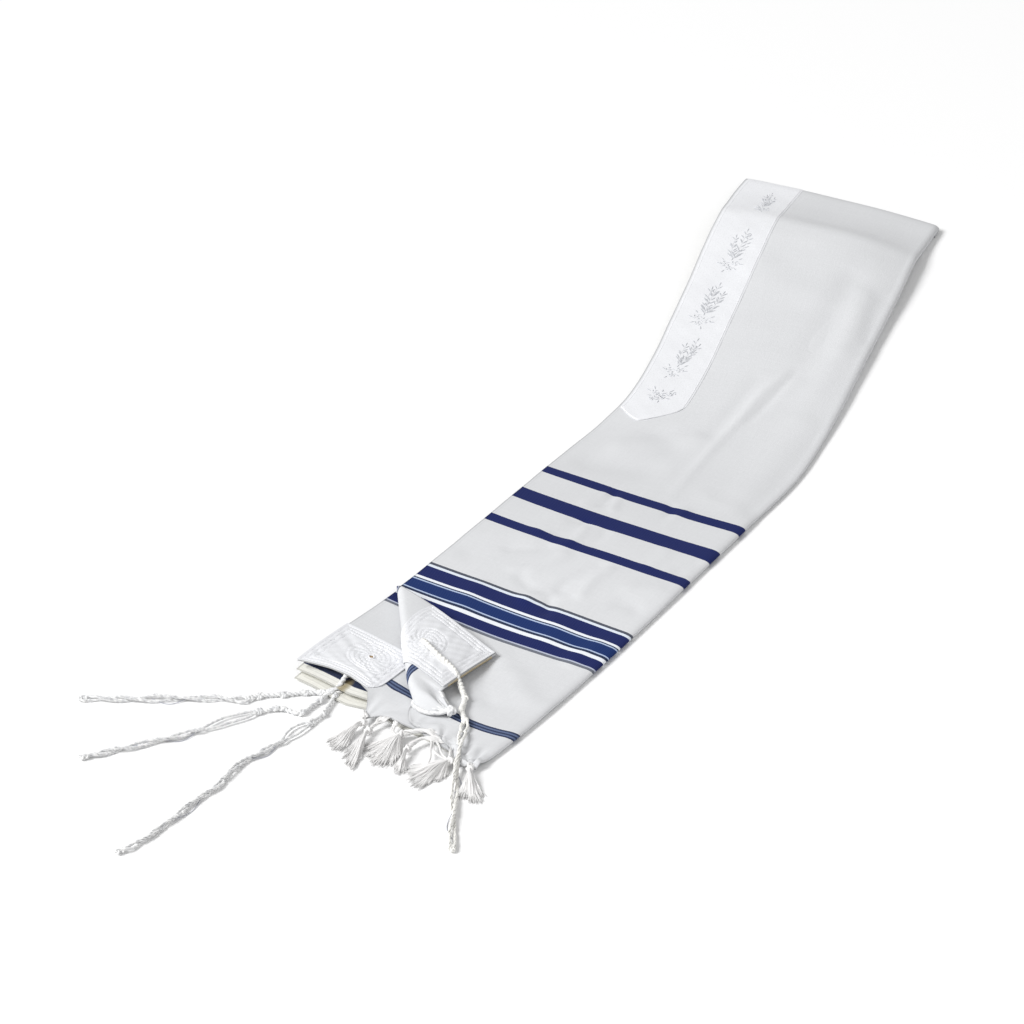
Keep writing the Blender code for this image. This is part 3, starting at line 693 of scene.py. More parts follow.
# tan yarn standing for the painted shadow under the turned corner's hem
PAINTED_HEM_SHADOW = yarn("painted_shadow_under_hem", srgb(196, 176, 128), srgb(168, 146, 98))
SILVER = yarn("silver_thread", srgb(213, 215, 219), srgb(154, 156, 162), rough=0.38, sheen=0.1)
# tan of painted shade inside the eyelets
PAINTED_EYELET_SHADE = yarn("eyelet_shade", srgb(176, 146, 100), srgb(120, 96, 66))


def finish_piece(obj, material, replaces=()):
    obj.data.materials.clear()
    obj.data.materials.append(material)
    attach(obj, "root")
    if replaces:
        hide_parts(*replaces)
    return obj


# ------------------------------------------------------ camera
camera = bpy.data.objects.new("camera", bpy.data.cameras.new("camera"))
bpy.context.scene.collection.objects.link(camera)
camera.location = world([1697.5, -2773.2, 2224.6])
camera.rotation_euler = (math.radians(58.5), 0.0, math.radians(31.6107))
camera.data.lens_unit = "FOV"
camera.data.angle = math.radians(13.0)
camera.data.clip_end = 100.0
bpy.context.scene.camera = camera

# ---------------------------------------------------------------- tied cords
TZITZIT = {
    "tzitzit_second_layer": [
        (-174.2, -4.0, 12.4), (-174.0, -12.0, 13.0), (-173.4, -19.5, 11.6),
        (-174.6, -27.0, 7.6), (-179.6, -32.0, 4.4), (-186.0, -35.6, 3.2),
        (-198.5, -43.6, 3.0), (-213.4, -56.1, 3.0), (-222.0, -62.4, 3.0), (-231.5, -70.5, 3.0),
        (-237.0, -79.5, 3.0), (-246.0, -84.8, 3.0), (-259.0, -91.4, 3.0), (-273.0, -99.4, 3.0),
        (-291.5, -111.6, 3.0), (-310.1, -123.3, 3.0), (-329.0, -135.6, 3.0),
        (-348.0, -146.5, 3.0), (-365.6, -156.5, 3.0)],
    "tzitzit_third_layer": [
        (-172.0, -19.0, 6.6), (-176.6, -28.6, 5.0), (-179.6, -36.0, 3.4),
        (-180.6, -47.3, 3.0), (-181.8, -60.0, 3.0), (-182.6, -69.0, 3.0), (-186.0, -74.2, 3.0),
        (-193.5, -74.4, 3.0), (-200.5, -74.6, 3.0), (-206.6, -78.2, 3.0), (-212.0, -85.0, 3.0),
        (-217.6, -90.6, 3.0), (-222.6, -99.8, 3.0), (-231.6, -114.0, 3.0), (-241.0, -134.5, 3.0),
        (-252.5, -154.5, 3.0), (-265.0, -172.0, 3.0), (-286.6, -201.3, 3.0),
        (-309.3, -231.6, 3.0)],
    "tzitzit_fourth_layer": [
        (-170.5, -20.0, 4.2), (-172.6, -32.1, 3.4), (-170.4, -43.0, 3.0),
        (-168.0, -54.0, 3.0), (-166.2, -63.5, 3.0), (-166.8, -75.0, 3.0), (-168.2, -82.6, 3.0),
        (-170.6, -89.5, 3.0), (-172.5, -103.1, 3.0), (-173.4, -119.1, 3.0),
        (-176.4, -131.0, 3.0), (-180.0, -145.7, 3.0), (-184.0, -161.5, 3.0),
        (-185.2, -178.4, 3.0), (-182.6, -193.0, 3.0), (-182.4, -208.2, 3.0),
        (-185.4, -225.0, 3.0), (-186.7, -256.4, 3.0), (-189.3, -292.3, 3.0),
        (-192.4, -312.4, 3.0), (-200.0, -329.3, 3.0)],
    "tzitzit_turned_corner": [
        (-136.2, 53.0, 25.4), (-131.0, 49.4, 28.2), (-122.8, 44.9, 28.2), (-108.8, 39.5, 25.4),
        (-96.1, 36.0, 22.2), (-88.4, 32.6, 20.4), (-82.1, 28.4, 15.4), (-75.0, 22.4, 11.8),
        (-67.4, 14.6, 11.0), (-62.6, 5.6, 10.8), (-59.4, -3.2, 10.6), (-51.6, -11.8, 10.4),
        (-46.2, -19.0, 10.2), (-40.6, -31.0, 9.9), (-35.4, -42.2, 9.7), (-30.2, -52.6, 9.2),
        (-25.3, -61.6, 8.8), (-20.1, -73.8, 6.8), (-14.8, -84.0, 4.2), (-8.5, -94.8, 3.1),
        (6.1, -120.4, 3.0), (16.0, -136.0, 3.0), (25.0, -151.9, 3.0), (41.6, -179.0, 3.0)],
}

# Where each cord is knotted (layout x, y) and how big the knot is (mm), the
# last being where the winding stops; then the loose strands' open loop: its
# length and half width (mm); and how far they take to turn once about.
KNOTS = {
    "tzitzit_second_layer": (((-179.6, -32.0, 2.1), (-186.0, -35.6, 2.3), (-198.5, -43.4, 2.3),
                              (-213.4, -56.1, 2.5), (-230.2, -69.2, 2.8), (-235.6, -77.4, 2.5)),
                             (14.0, 3.3), 72.0, 1.65),
    "tzitzit_third_layer": (((-180.2, -46.6, 2.5), (-183.6, -72.2, 2.8), (-200.4, -74.4, 2.5),
                             (-206.2, -77.8, 2.6), (-217.2, -90.2, 2.9)),
                            (54.0, 3.9), 62.0, 1.35),
    "tzitzit_fourth_layer": (((-171.8, -33.6, 2.1), (-166.3, -63.2, 2.6), (-167.6, -80.6, 2.9)),
                             (33.0, 4.0), 58.0, 1.05),
    "tzitzit_turned_corner": (((-85.6, 31.0, 2.3), (-67.0, 14.0, 2.8), (-60.2, -1.6, 2.5),
                               (-47.6, -17.0, 2.9)),
                              (16.0, 2.0), 170.0, 1.6),
}


# Fine threads that have come away from a cord: where each starts as a share
# of the loose strands, how long it runs (mm), and to which side it bows.
STRAYS = {
    "tzitzit_second_layer": ((0.36, 34.0, 1.0), (0.66, 46.0, -1.0)),
    "tzitzit_third_layer": ((0.36, 34.0, 1.0), (0.66, 46.0, -1.0)),
    "tzitzit_fourth_layer": ((0.17, 34.0, 1.0), (0.56, 46.0, 1.0)),
    "tzitzit_turned_corner": ((0.36, 34.0, 1.0), (0.66, 46.0, -1.0)),
}


def knot_points(centre, axis, side, up, size):
    """A closed knot curve round the cord at centre."""
    a = np.linspace(0.0, 2.0 * math.pi, 40)
    x = (np.sin(a) + 2.0 * np.sin(2.0 * a)) / 3.0
    y = (np.cos(a) - 2.0 * np.cos(2.0 * a)) / 3.0
    z = -np.sin(3.0 * a) / 3.0
    return (centre + np.outer(x * size, axis) + np.outer(y * size, side)
            + np.outer(z * size * 1.3, up))


def tied_cord(name):
    route, at = resample(TZITZIT[name], 1.1)
    long = float(at[-1])
    t, n, b = frames(route)
    knots, (loop_long, loop_half), pitch, full = KNOTS[name]
    r = rng(len(name) * 7 + int(long))
    strands = Strands()
    where = [int(np.argmin(np.hypot(route[:, 0] - k[0], route[:, 1] - k[1]))) for k in knots]
    last = where[-1]
    # wound stretch: a core with two strands wound round it
    core = route[:last + 2]
    turned = name == "tzitzit_turned_corner"     # a plumper, smoother cord
    plump = 0.58 + 0.45 * (1.65 if turned else min(full, 1.3))
    strands.add(core, (1.62 if turned else 1.25) * plump, 8)
    core_at = at[:last + 2]
    fine_at = np.linspace(0.0, core_at[-1], len(core) * 3)
    base = np.stack([np.interp(fine_at, core_at, core[:, c]) for c in range(3)], 1)
    nn = np.stack([np.interp(fine_at, core_at, n[:last + 2, c]) for c in range(3)], 1)
    bb = np.stack([np.interp(fine_at, core_at, b[:last + 2, c]) for c in range(3)], 1)
    for k in range(2):
        turn = 2.0 * math.pi * fine_at / 8.4 + 0.9 * np.sin(fine_at / 8.0 + long) + k * math.pi
        reach = plump * (1.12 + 0.16 * np.sin(fine_at / 5.1 + k))
        wrap = base + nn * (np.cos(turn) * reach)[:, None] + bb * (np.sin(turn) * reach)[:, None]
        strands.add(wrap, 0.98 * plump, 6)
    # knots, tied double
    for i, knot in zip(where, knots):
        for shift in (-1, 1):
            j = int(np.clip(i + shift, 0, len(route) - 1))
            tilt = r.uniform(-0.9, 0.9)
            side = n[j] * math.cos(tilt) + b[j] * math.sin(tilt)
            up = np.cross(t[j], side)
            curve = knot_points(route[j], t[j], side, up, knot[2] * 0.96 + r.uniform(-0.15, 0.15))
            floor_at = 1.1 if route[j][2] < 4.5 else -1.0
            curve[:, 2] = np.maximum(curve[:, 2], floor_at)
            strands.add(curve, 1.0 + 0.06 * knot[2], 6)
    # loose strands: two bundles of four that part, cross and part again
    p, d = route[last:], at[last:] - at[last]
    end = float(d[-1])
    tt = t[last:]
    side = np.stack([-tt[:, 1], tt[:, 0], np.zeros(len(tt))], 1)
    side /= np.maximum(np.linalg.norm(side, axis=1, keepdims=True), 1e-9)
    up = np.cross(tt, side)
    up *= np.sign(up[:, 2:3] + 1e-9)
    open_loop = loop_half * np.sin(math.pi * np.clip(d / loop_long, 0.0, 1.0)) ** 0.75
    after = np.maximum(d - loop_long, 0.0)
    phi = 2.0 * math.pi * after / pitch + 0.5 * np.sin(after / 17.0)
    reach = full * (1.48 + 0.36 * np.sin(after / 11.0 + 1.0) + 0.22 * np.sin(after / 29.0))
    reach = np.where(d < loop_long, np.minimum(1.0, d * 0.3), reach)
    # the bundle of four turns about itself
    for bundle in (1.0, -1.0):
        mid = p + side * (bundle * (open_loop + reach * np.cos(phi)))[:, None]
        mid = mid + up * (bundle * 0.75 * reach * np.sin(phi))[:, None]
        own_pitch = (19.0 if turned else 12.5) + 2.0 * bundle
        for k in range(4):
            turn = 2.0 * math.pi * d / own_pitch + k * math.pi / 2.0 + r.uniform(-0.3, 0.3)
            own = 0.72 + 0.18 * full * smooth(after / 10.0) + 0.34 * np.sin(
                d / r.uniform(6.0, 11.0) + r.uniform(0.0, 6.0)) * smooth(after / 14.0)
            path = mid + side * (own * np.cos(turn))[:, None] + up * (own * np.sin(turn))[:, None]
            # the kinks of hand-twisted wool, each strand with its own
            kink = (0.22 if turned else 0.42) * smooth(after / 8.0) * np.sin(
                2.0 * math.pi * d / r.uniform(5.2, 8.6) + r.uniform(0.0, 6.0))
            path = path + side * kink[:, None]
            path[:, 2] = np.maximum(path[:, 2], np.where(p[:, 2] < 5.0, 0.62, -9.0))
            keep = d <= end - r.uniform(0.0, 5.0)
            count = int(keep.sum())
            thick = np.full(count, 0.58 * (0.5 + 0.5 * min(full, 1.4)))
            thick[-4:] = (0.58, 0.54, 0.48, 0.36)
            strands.add(path[keep], thick, 5)
    # one or two fine threads that have come away, coloured greyer as painted shade
    stray_from = len(strands.faces)
    for start, reach_far, way in STRAYS[name]:
        i0 = last + int((len(route) - last) * start)
        i1 = min(i0 + int(reach_far / 1.1), len(route) - 2)
        bow = np.sin(np.linspace(0.0, math.pi, i1 - i0)) ** 1.2
        sd = np.stack([-t[i0:i1, 1], t[i0:i1, 0], np.zeros(i1 - i0)], 1)
        path = route[i0:i1] + sd * (way * 5.2 * bow)[:, None]
        path[:, 2] = 0.5 + 2.2 * (1.0 - bow)
        strands.add(path, 0.36, 4)
    stray_to = len(strands.faces)
    # end knots
    for back, size in ((3.0, 2.1), (7.5, 1.9)):
        i = int(np.argmin(np.abs(at - (long - back))))
        curve = knot_points(route[i], t[i], n[i], b[i], size)
        curve[:, 2] = np.maximum(curve[:, 2], 1.0)
        strands.add(curve, 0.95, 6)
    obj = strands.build(name + "_strands")
    finish_piece(obj, CORD_BRIGHT if turned else CORD, [name])
    obj.data.materials.append(SHADED_STRAY_WOOL)
    for face in range(stray_from, stray_to):
        obj.data.polygons[face].material_index = 1
    shown = route[::3]
    if (len(route) - 1) % 3:
        shown = np.vstack([shown, route[-1:]])
    tuple(world(route[0]).tolist())
    [tuple(q) for q in world(shown).tolist()]
    return obj


CORD_PIECES = [tied_cord(name) for name in TZITZIT]


# ------------------------------------------------------------------ top layer
HALF = CLOTH / 2.0
# Where the woven end of the top layer is drawn to as it goes from the patch's
# inner corner to the gather knot, back to the crease and along to the folded
# side: distance along the end (mm) and the place it is drawn to (mm).
HEM_S = np.array([82.0, 90.0, 98.0, 106.0, 112.0, 122.0, 132.0, 139.0, 145.0,
                  151.0, 158.0, 168.0, 178.0, 188.0, 196.0, 203.0, 208.0, 212.0, 217.5])
HEM_AT = np.array([
    (0.0, 0.0, 0.0), (-84.0, 2.0, 16.5), (-72.5, -8.5, 15.5), (-64.5, -15.0, 13.8),
    (-70.0, -19.8, 12.4), (-84.6, -23.6, 11.0), (-96.5, -21.0, 10.6), (-101.5, -21.5, 9.6),
    (-97.5, -31.0, 8.6), (-90.5, -40.3, 8.0), (-80.0, -43.4, 8.0), (-64.4, -43.0, 8.2),
    (-51.2, -48.6, 8.0), (-39.8, -57.2, 7.0), (-27.5, -68.0, 6.2), (-17.5, -68.5, 6.4),
    (-10.5, -67.0, 6.0), (-6.0, -64.4, 5.6), (-3.6, -60.5, 5.4)])
KNOT_AT = np.array([-64.5, -15.5, 13.8])


def turn_back(x, y, above):
    """Flat plan points carried over the corner's crease, vectorised."""
    d = past_crease(x, y)
    foot_x, foot_y = x - CREASE_OUT[0] * d, y - CREASE_OUT[1] * d
    base = near_height(foot_x, foot_y) - HALF
    turn = d / FOLD_R
    reach = FOLD_R + above
    bend = np.clip(turn, 0.0, math.pi)
    roll_x = foot_x + CREASE_OUT[0] * reach * np.sin(bend)
    roll_y = foot_y + CREASE_OUT[1] * reach * np.sin(bend)
    roll_z = base + FOLD_R - reach * np.cos(bend)
    e = d - math.pi * FOLD_R
    px, py = foot_x - CREASE_OUT[0] * e, foot_y - CREASE_OUT[1] * e
    ground = near_height(px, py) - HALF
    start = base + 2.0 * FOLD_R
    w = smooth(e / 78.0)
    pz = np.maximum(start * (1.0 - w) + (ground + 4.4) * w, ground + 2.4) + above
    over = turn > math.pi
    return (np.where(over, px, roll_x), np.where(over, py, roll_y),
            np.where(over, pz, roll_z))


def shorten(x, y, u, run):
    return x, y + TOP_SHORT * (1.0 - smooth(run / 70.0)) * (1.0 - smooth(u / 0.5))


def laid(u, run, above=0.0):
    """Middle surface of the top layer's near part, before the woven end is drawn in."""
    x, y = plan(u, run)
    x, y = shorten(x, y, u, run)
    z = top_height(u, run) - HALF + relief(u * WIDTH, run) + above
    turned = past_crease(x, y) > 0.0
    tx, ty, tz = turn_back(x, y, -above)
    return (np.where(turned, tx, x), np.where(turned, ty, y), np.where(turned, tz, z))


def drawn_end(s, run):
    """How far the gathering carries a point, by s and run (mm)."""
    base = np.stack(laid(HEM_S / WIDTH, np.zeros_like(HEM_S)), 1)
    move = HEM_AT - base
    move[0] = 0.0
    w = np.exp(-(np.maximum(run, 0.0) / np.interp(s, [0.0, 100.0, 150.0, 190.0, 217.0],
                                                  [20.0, 20.0, 24.0, 17.0, 13.0])) ** 1.7)
    w = w * smooth((s - 80.0) / 10.0)
    knots = np.clip(s, HEM_S[0], HEM_S[-1])
    return [w * hermite(HEM_S, move[:, c], knots) for c in range(3)]


def pleats(x, y, cx, cy, count, phase, inner, outer):
    """Radial folds running out of a gathered point."""
    dx, dy = x - cx, y - cy
    reach = np.hypot(dx, dy)
    angle = np.arctan2(dx, dy)
    wave = np.sin(angle * count + phase + 0.9 * np.sin(reach / 9.0 + phase))
    wave = wave + 0.45 * np.sin(angle * count * 1.73 + 2.1 * phase)
    return wave * smooth(reach / inner) * (1.0 - smooth((reach - inner) / (outer - inner)))


def spaced_values(stops):
    """Values from (start, end, step) stretches, without repeats."""
    out = []
    for start, end, step in stops:
        count = max(int(round((end - start) / step)), 1)
        out += list(np.linspace(start, end, count, endpoint=False))
    out.append(stops[-1][1])
    return np.array(out)


def build_top():
    s_flat = spaced_values([(0.0, 78.0, 2.2), (78.0, 209.5, 1.6)])
    runs = spaced_values([(0.0, 60.0, 1.4), (60.0, 168.0, 1.9), (168.0, 460.0, 3.4),
                          (460.0, 990.0, 6.0), (990.0, 1076.0, 4.0)])
    angles = np.radians(np.linspace(0.0, 180.0, 13))[1:]
    far_angles = np.radians(np.linspace(0.0, 170.0, 9))[1:]
    grid_u, grid_r = np.meshgrid(s_flat / WIDTH, runs)
    grid_s = grid_u * WIDTH
    x, y, z = laid(grid_u, grid_r)
    dx, dy, dz = drawn_end(grid_s, grid_r)
    flat_t = weave_run(grid_u, grid_r)
    plain = smooth((grid_s - 148.0) / 14.0)
    flat_t = flat_t + dy * plain * smooth((grid_r - 14.0) / 14.0)
    x, y, z = x + dx, y + dy, z + dz
    # folds out of the gathers
    near = 1.0 - smooth((grid_r - 60.0) / 40.0)
    puff = (grid_s > 84.0) & (grid_s < 147.0)
    lift = np.where(puff, 2.1 * pleats(x, y, KNOT_AT[0], KNOT_AT[1], 8.0, 0.8, 8.0, 44.0), 0.0)
    lift = lift * smooth((grid_s - 84.0) / 8.0) * smooth((149.0 - grid_s) / 6.0)
    z = z + near * lift
    right = smooth((grid_s - 146.0) / 6.0)
    for cx, cy, count, phase, reach, height in (
            (-84.0, -46.0, 9.0, 0.4, 30.0, 0.9), (-50.0, -52.0, 9.0, 2.4, 34.0, 1.1),
            (-27.0, -70.0, 10.0, 4.2, 44.0, 1.4), (-8.0, -69.0, 11.0, 1.2, 38.0, 1.3)):
        z = z + near * right * height * pleats(x, y, cx, cy, count, phase, 7.0, reach)
    # the folded long side
    xr, yr = plan(np.ones_like(runs), runs)
    xl, yl = plan(np.zeros_like(runs), runs)
    across = np.stack([xr - xl, yr - yl], 1)
    across /= np.linalg.norm(across, axis=1, keepdims=True)
    z_top = z[:, -1]
    z_low = np.maximum(HALF + 0.35, z_top - 2.2 - 6.0 * smooth(runs / 46.0))
    half = (z_top - z_low) / 2.0
    wide = (WIDTH - s_flat[-1]) * (1.0 - 0.62 * np.exp(-(runs / 15.0) ** 1.6))
    a_u, a_r = np.meshgrid(angles, runs)
    fold_x = x[:, -1:] + across[:, :1] * wide[:, None] * np.sin(a_u)
    fold_y = y[:, -1:] + across[:, 1:] * wide[:, None] * np.sin(a_u)
    fold_z = (z_low + half)[:, None] + half[:, None] * np.cos(a_u)
    x = np.concatenate([x, fold_x], 1)
    y = np.concatenate([y, fold_y], 1)
    z = np.concatenate([z, fold_z], 1)
    arc = math.pi * (WIDTH - s_flat[-1]) * 0.62
    s_fold = s_flat[-1] + (a_u / math.pi) * arc
    flat_s = np.concatenate([grid_s, s_fold], 1)
    beyond = weave_run(1.0 - 0.0 * a_u, a_r)
    at_edge = weave_run(np.full_like(runs, s_flat[-1] / WIDTH), runs)
    ease = np.minimum(a_u / (0.5 * math.pi), 1.0)
    beyond = at_edge[:, None] + (beyond - at_edge[:, None]) * ease
    beyond = beyond + (flat_t[:, -1] - at_edge)[:, None]
    flat_t = np.concatenate([flat_t, beyond], 1)
    # the far fold
    last = len(runs) - 1
    along = np.stack([x[last] - x[last - 1], y[last] - y[last - 1]], 1)
    along /= np.maximum(np.linalg.norm(along, axis=1, keepdims=True), 1e-9)
    deep = LENGTH - runs[-1]
    x_end, y_end, z_end = x[last], y[last], z[last]
    tuck = np.minimum(z_end - (HALF + 0.35), 3.4) / 2.0
    for angle in far_angles:
        step = deep * math.sin(angle)
        x = np.vstack([x, (x_end + along[:, 0] * step)[None]])
        y = np.vstack([y, (y_end + along[:, 1] * step)[None]])
        z = np.vstack([z, (z_end - tuck + tuck * math.cos(angle))[None]])
        flat_s = np.vstack([flat_s, flat_s[-1:]])
        flat_t = np.vstack([flat_t, flat_t[last:last + 1] + deep * angle / math.pi * 2.0])
    p = np.stack([x, y, z], 2)
    rows_run = np.concatenate([runs, np.full(len(far_angles), 60.0)])
    edge = np.minimum(flat_s, rows_run[:, None] + 0.25)
    flat = np.stack([flat_s, flat_t, edge], 2)
    obj = shell("top_layer_cloth", p, flat, SHEET_T)
    finish_piece(obj, WOOL, ["shawl_top_layer"])
    return obj, float(flat_s.max()), float(LENGTH + deep)


top, top_wide, top_long = build_top()


# --------------------------------------------------------------- second layer
SECOND_HEM = np.array([
    (-220.0, -22.5), (-212.0, -20.6), (-190.0, -16.4), (-176.0, -15.6), (-168.0, -15.8),
    (-155.6, -18.4), (-147.0, -23.0), (-141.5, -34.0), (-137.0, -44.0), (-132.5, -53.0),
    (-127.5, -55.5), (-123.0, -50.5), (-115.0, -45.5), (-106.6, -43.0), (-98.0, -44.5),
    (-84.0, -45.0)])
LEFT_KNOT = np.array([-129.5, -56.5])


def second_plan(u, run):
    x, y = plan(u, run)
    lx, ly = plan(0.0, 0.0)
    rx, ry = plan(1.0, 0.0)
    straight = ly + (ry - ly) * (x - lx) / (rx - lx)
    hem = np.interp(x, SECOND_HEM[:, 0], SECOND_HEM[:, 1])
    near = 1.0 - smooth(run / 42.0)
    y = y + (hem - straight) * near * smooth((-64.0 - x) / 14.0)
    pinch = np.exp(-((x - LEFT_KNOT[0]) / 13.0) ** 2) * np.exp(-(run / 20.0) ** 1.6)
    return x + (LEFT_KNOT[0] - x) * 0.62 * pinch, y


def second_height(x, y):
    return near_height(x, y) - patch_room(x, y) - 1.5 * CLOTH - GAP


def second_surface(u, run):
    x, y = second_plan(u, run)
    z = second_height(x, y) + swell(u, run)
    near = 1.0 - smooth((run - 40.0) / 30.0)
    z = z + 1.5 * near * pleats(x, y, LEFT_KNOT[0], LEFT_KNOT[1], 9.0, 0.6, 8.0, 46.0)
    w = np.exp(-(np.hypot(x - LEFT_KNOT[0], y - LEFT_KNOT[1]) / 22.0) ** 2)
    return x, y, z * (1.0 - w) + 5.2 * w


def build_second():
    s = spaced_values([(0.0, 140.0, 1.5), (140.0, 206.0, 8.0)])
    runs = spaced_values([(0.0, 60.0, 1.4), (60.0, 132.0, 1.9), (132.0, 210.0, 4.0),
                          (210.0, 1082.0, 12.0)])
    gu, gr = np.meshgrid(s / WIDTH, runs)
    x, y, z = second_surface(gu, gr)
    p = np.stack([x, y, z], 2)
    flat = np.stack([gu * WIDTH + 400.0, gr + 11.0, np.minimum(gu * WIDTH, gr + 0.25)], 2)
    obj = shell("second_layer_cloth", p, flat, SHEET_T)
    finish_piece(obj, WOOL, ["shawl_second_layer"])
    return obj


second = build_second()


# --------------------------------------------------- third and fourth layers
MOUTH_DEPTH, MOUTH_SX, MOUTH_SY = 8.0, 58.0, 46.0


def mouth(x, y):
    return MOUTH_DEPTH * np.exp(-((x - CORNER_X) / MOUTH_SX) ** 2
                                - ((y - CORNER_Y) / MOUTH_SY) ** 2)


def build_lower(name, level, offset, seed, lip):
    s = spaced_values([(0.0, 110.0, 2.4), (110.0, 206.0, 8.0)])
    runs = spaced_values([(0.0, 60.0, 2.0), (60.0, 1082.0, 13.0)])
    gu, gr = np.meshgrid(s / WIDTH, runs)
    x, y = plan(gu, gr)
    near = 1.0 - smooth(gr / 60.0)
    back = np.interp(x, [-220.0, -160.0, -140.0, -60.0, -30.0, 0.0],
                     [0.0, 3.0, 9.0, 10.0, 7.0, 0.0])
    x = x + offset[0]
    y = y + (offset[1] + back + waves(gu * WIDTH, 0.0 * gr, seed + 20, (37.0, 71.0), 1.1)) * near
    upper = np.minimum(second_height(x, y), 60.0) + swell(gu, gr) - mouth(x, y)
    z = HALF + 0.3 + (upper - HALF) * level + lip * np.exp(
        -((x - CORNER_X) / 55.0) ** 2 - ((y - CORNER_Y) / 38.0) ** 2)
    z = z + waves(x, y, seed, (47.0, 73.0, 118.0), 0.25) * level
    p = np.stack([x, y, z], 2)
    flat = np.stack([gu * WIDTH + 1000.0 * seed, gr + (33.0 if seed == 3 else 54.0),
                     np.minimum(gu * WIDTH, gr + 0.25)], 2)
    obj = shell(name, p, flat, SHEET_T)
    return obj


third = build_lower("third_layer_cloth", 0.58, (-1.0, 0.0), 3, 2.5)
fourth = build_lower("fourth_layer_cloth", 0.0, (1.0, -7.0), 4, 2.6)
finish_piece(third, SHADED_INNER_WOOL, ["shawl_hidden_layers"])
finish_piece(fourth, SHADED_INNER_WOOL)


# ------------------------------------------------------------------- neckband
BAND = 63.0                            # the neckband's width, mm
BAND_END = np.array([(0.0, 577.0), (0.10, 571.5), (0.22, 564.5), (0.36, 558.5), (0.45, 557.0),
                     (0.56, 563.0), (0.72, 575.0), (0.86, 586.5), (0.94, 594.0), (1.0, 606.0)])


def band_at(k, run, above=0.0):
    """Point of the neckband's face: share across k, run along the strip."""
    start = np.interp(k, BAND_END[:, 0], BAND_END[:, 1])
    r = np.where(run > 700.0, run, start + (700.0 - start) * (run - 556.0) / 144.0)
    u = 0.012 + (ATARA_SHARE - 0.012) * k
    x, y = plan(u, r)
    z = top_height(u, r) - HALF + relief(u * WIDTH, r) + 0.95
    hem = np.exp(-((1.0 - k) * BAND / 1.5) ** 2) + 0.5 * np.exp(-(k * BAND / 2.0) ** 2)
    z = z - 0.50 * hem + waves(u * WIDTH, r, 11, (17.0, 29.0, 43.0, 67.0), 0.16) + above
    return x, y, z


def build_atara():
    k = np.concatenate([[0.0, 0.012, 0.028, 0.05], np.linspace(0.08, 0.92, 28),
                        [0.95, 0.972, 0.988, 1.0]])
    runs = np.concatenate([np.linspace(556.0, 700.0, 62)[:-1], np.linspace(700.0, 1078.0, 130)])
    gk, gr = np.meshgrid(k, runs)
    x, y, z = band_at(gk, gr)
    # over the far fold
    last = len(runs) - 1
    along = np.stack([x[last] - x[last - 1], y[last] - y[last - 1]], 1)
    along /= np.linalg.norm(along, axis=1, keepdims=True)
    x_end, y_end, z_end = x[last], y[last], z[last]
    flat_s, flat_t = gk * BAND, gr.copy()
    deep = LENGTH - runs[-1] - 1.6
    tuck = np.minimum(z_end - (HALF + 0.2), 4.8) / 2.0
    for angle in np.radians([12.0, 25.0, 38.0, 52.0, 68.0, 88.0, 110.0, 130.0, 150.0]):
        step = (deep + 2.3) * math.sin(angle)
        x = np.vstack([x, (x_end + along[:, 0] * step)[None]])
        y = np.vstack([y, (y_end + along[:, 1] * step)[None]])
        z = np.vstack([z, (z_end - tuck + tuck * math.cos(angle))[None]])
        flat_s = np.vstack([flat_s, flat_s[-1:]])
        flat_t = np.vstack([flat_t, flat_t[last:last + 1] + deep * angle])
    p = np.stack([x, y, z], 2)
    flat = np.stack([flat_s, flat_t, np.zeros_like(flat_s)], 2)
    obj = shell("neckband_satin", p, flat, 0.7)
    finish_piece(obj, SATIN, ["neckband"])
    return obj


atara = build_atara()


class Stitches(Strands):
    """Raised satin-stitch shapes and thread lines on a mapped surface."""

    def __init__(self, place):
        super().__init__()
        self.place = place

    def line(self, points, radius, above=0.25, sides=5, closed=False):
        pts = np.asarray(points, float)
        path = np.stack(self.place(pts[:, 0], pts[:, 1], above), 1)
        self.add(path, radius, sides)

    def leaf(self, a, b, angle, length, width, height=0.55, curl=0.0):
        """Lens from (a, b), pointing along angle (radians from the b axis)."""
        rows, cols = 8, 5
        t = np.linspace(0.0, 1.0, rows)
        c = np.linspace(-1.0, 1.0, cols)
        gt, gc = np.meshgrid(t, c, indexing="ij")
        half = width / 2.0 * np.sin(math.pi * np.clip(gt, 0.02, 0.98)) ** 0.8
        long = gt * length
        side = gc * half + curl * gt * gt * length
        ca, sa = math.cos(angle), math.sin(angle)
        pa = a + long * sa + side * ca
        pb = b + long * ca - side * sa
        rise = height * (1.0 - gc * gc) * np.sin(math.pi * np.clip(gt, 0.02, 0.98)) ** 0.6
        top = np.stack(self.place(pa, pb, 0.30 + rise), -1).reshape(-1, 3)
        low = np.stack(self.place(pa, pb, 0.12 + 0.0 * rise), -1).reshape(-1, 3)
        n = rows * cols
        idx = np.arange(n).reshape(rows, cols)
        q = np.stack([idx[:-1, :-1], idx[:-1, 1:], idx[1:, 1:], idx[1:, :-1]], -1).reshape(-1, 4)
        ring = np.concatenate([idx[0, :-1], idx[:-1, -1], idx[-1, :0:-1], idx[:0:-1, 0]])
        nxt = np.roll(ring, -1)
        rim = np.stack([nxt, ring, ring + n, nxt + n], -1)
        faces = np.concatenate([q[:, ::-1], q + n, rim[:, ::-1]]) + self.count
        self.verts.append(np.concatenate([top, low]))
        self.faces += faces.tolist()
        self.count += 2 * n

    def petal_ring(self, a, b, count, length, width, turn=0.0, height=0.6):
        for k in range(count):
            self.leaf(a, b, turn + k * 2.0 * math.pi / count, length, width, height)

    def bead(self, a, b, size, height=0.9):
        self.leaf(a - 0.0, b - size / 2.0, 0.0, size, size, height)


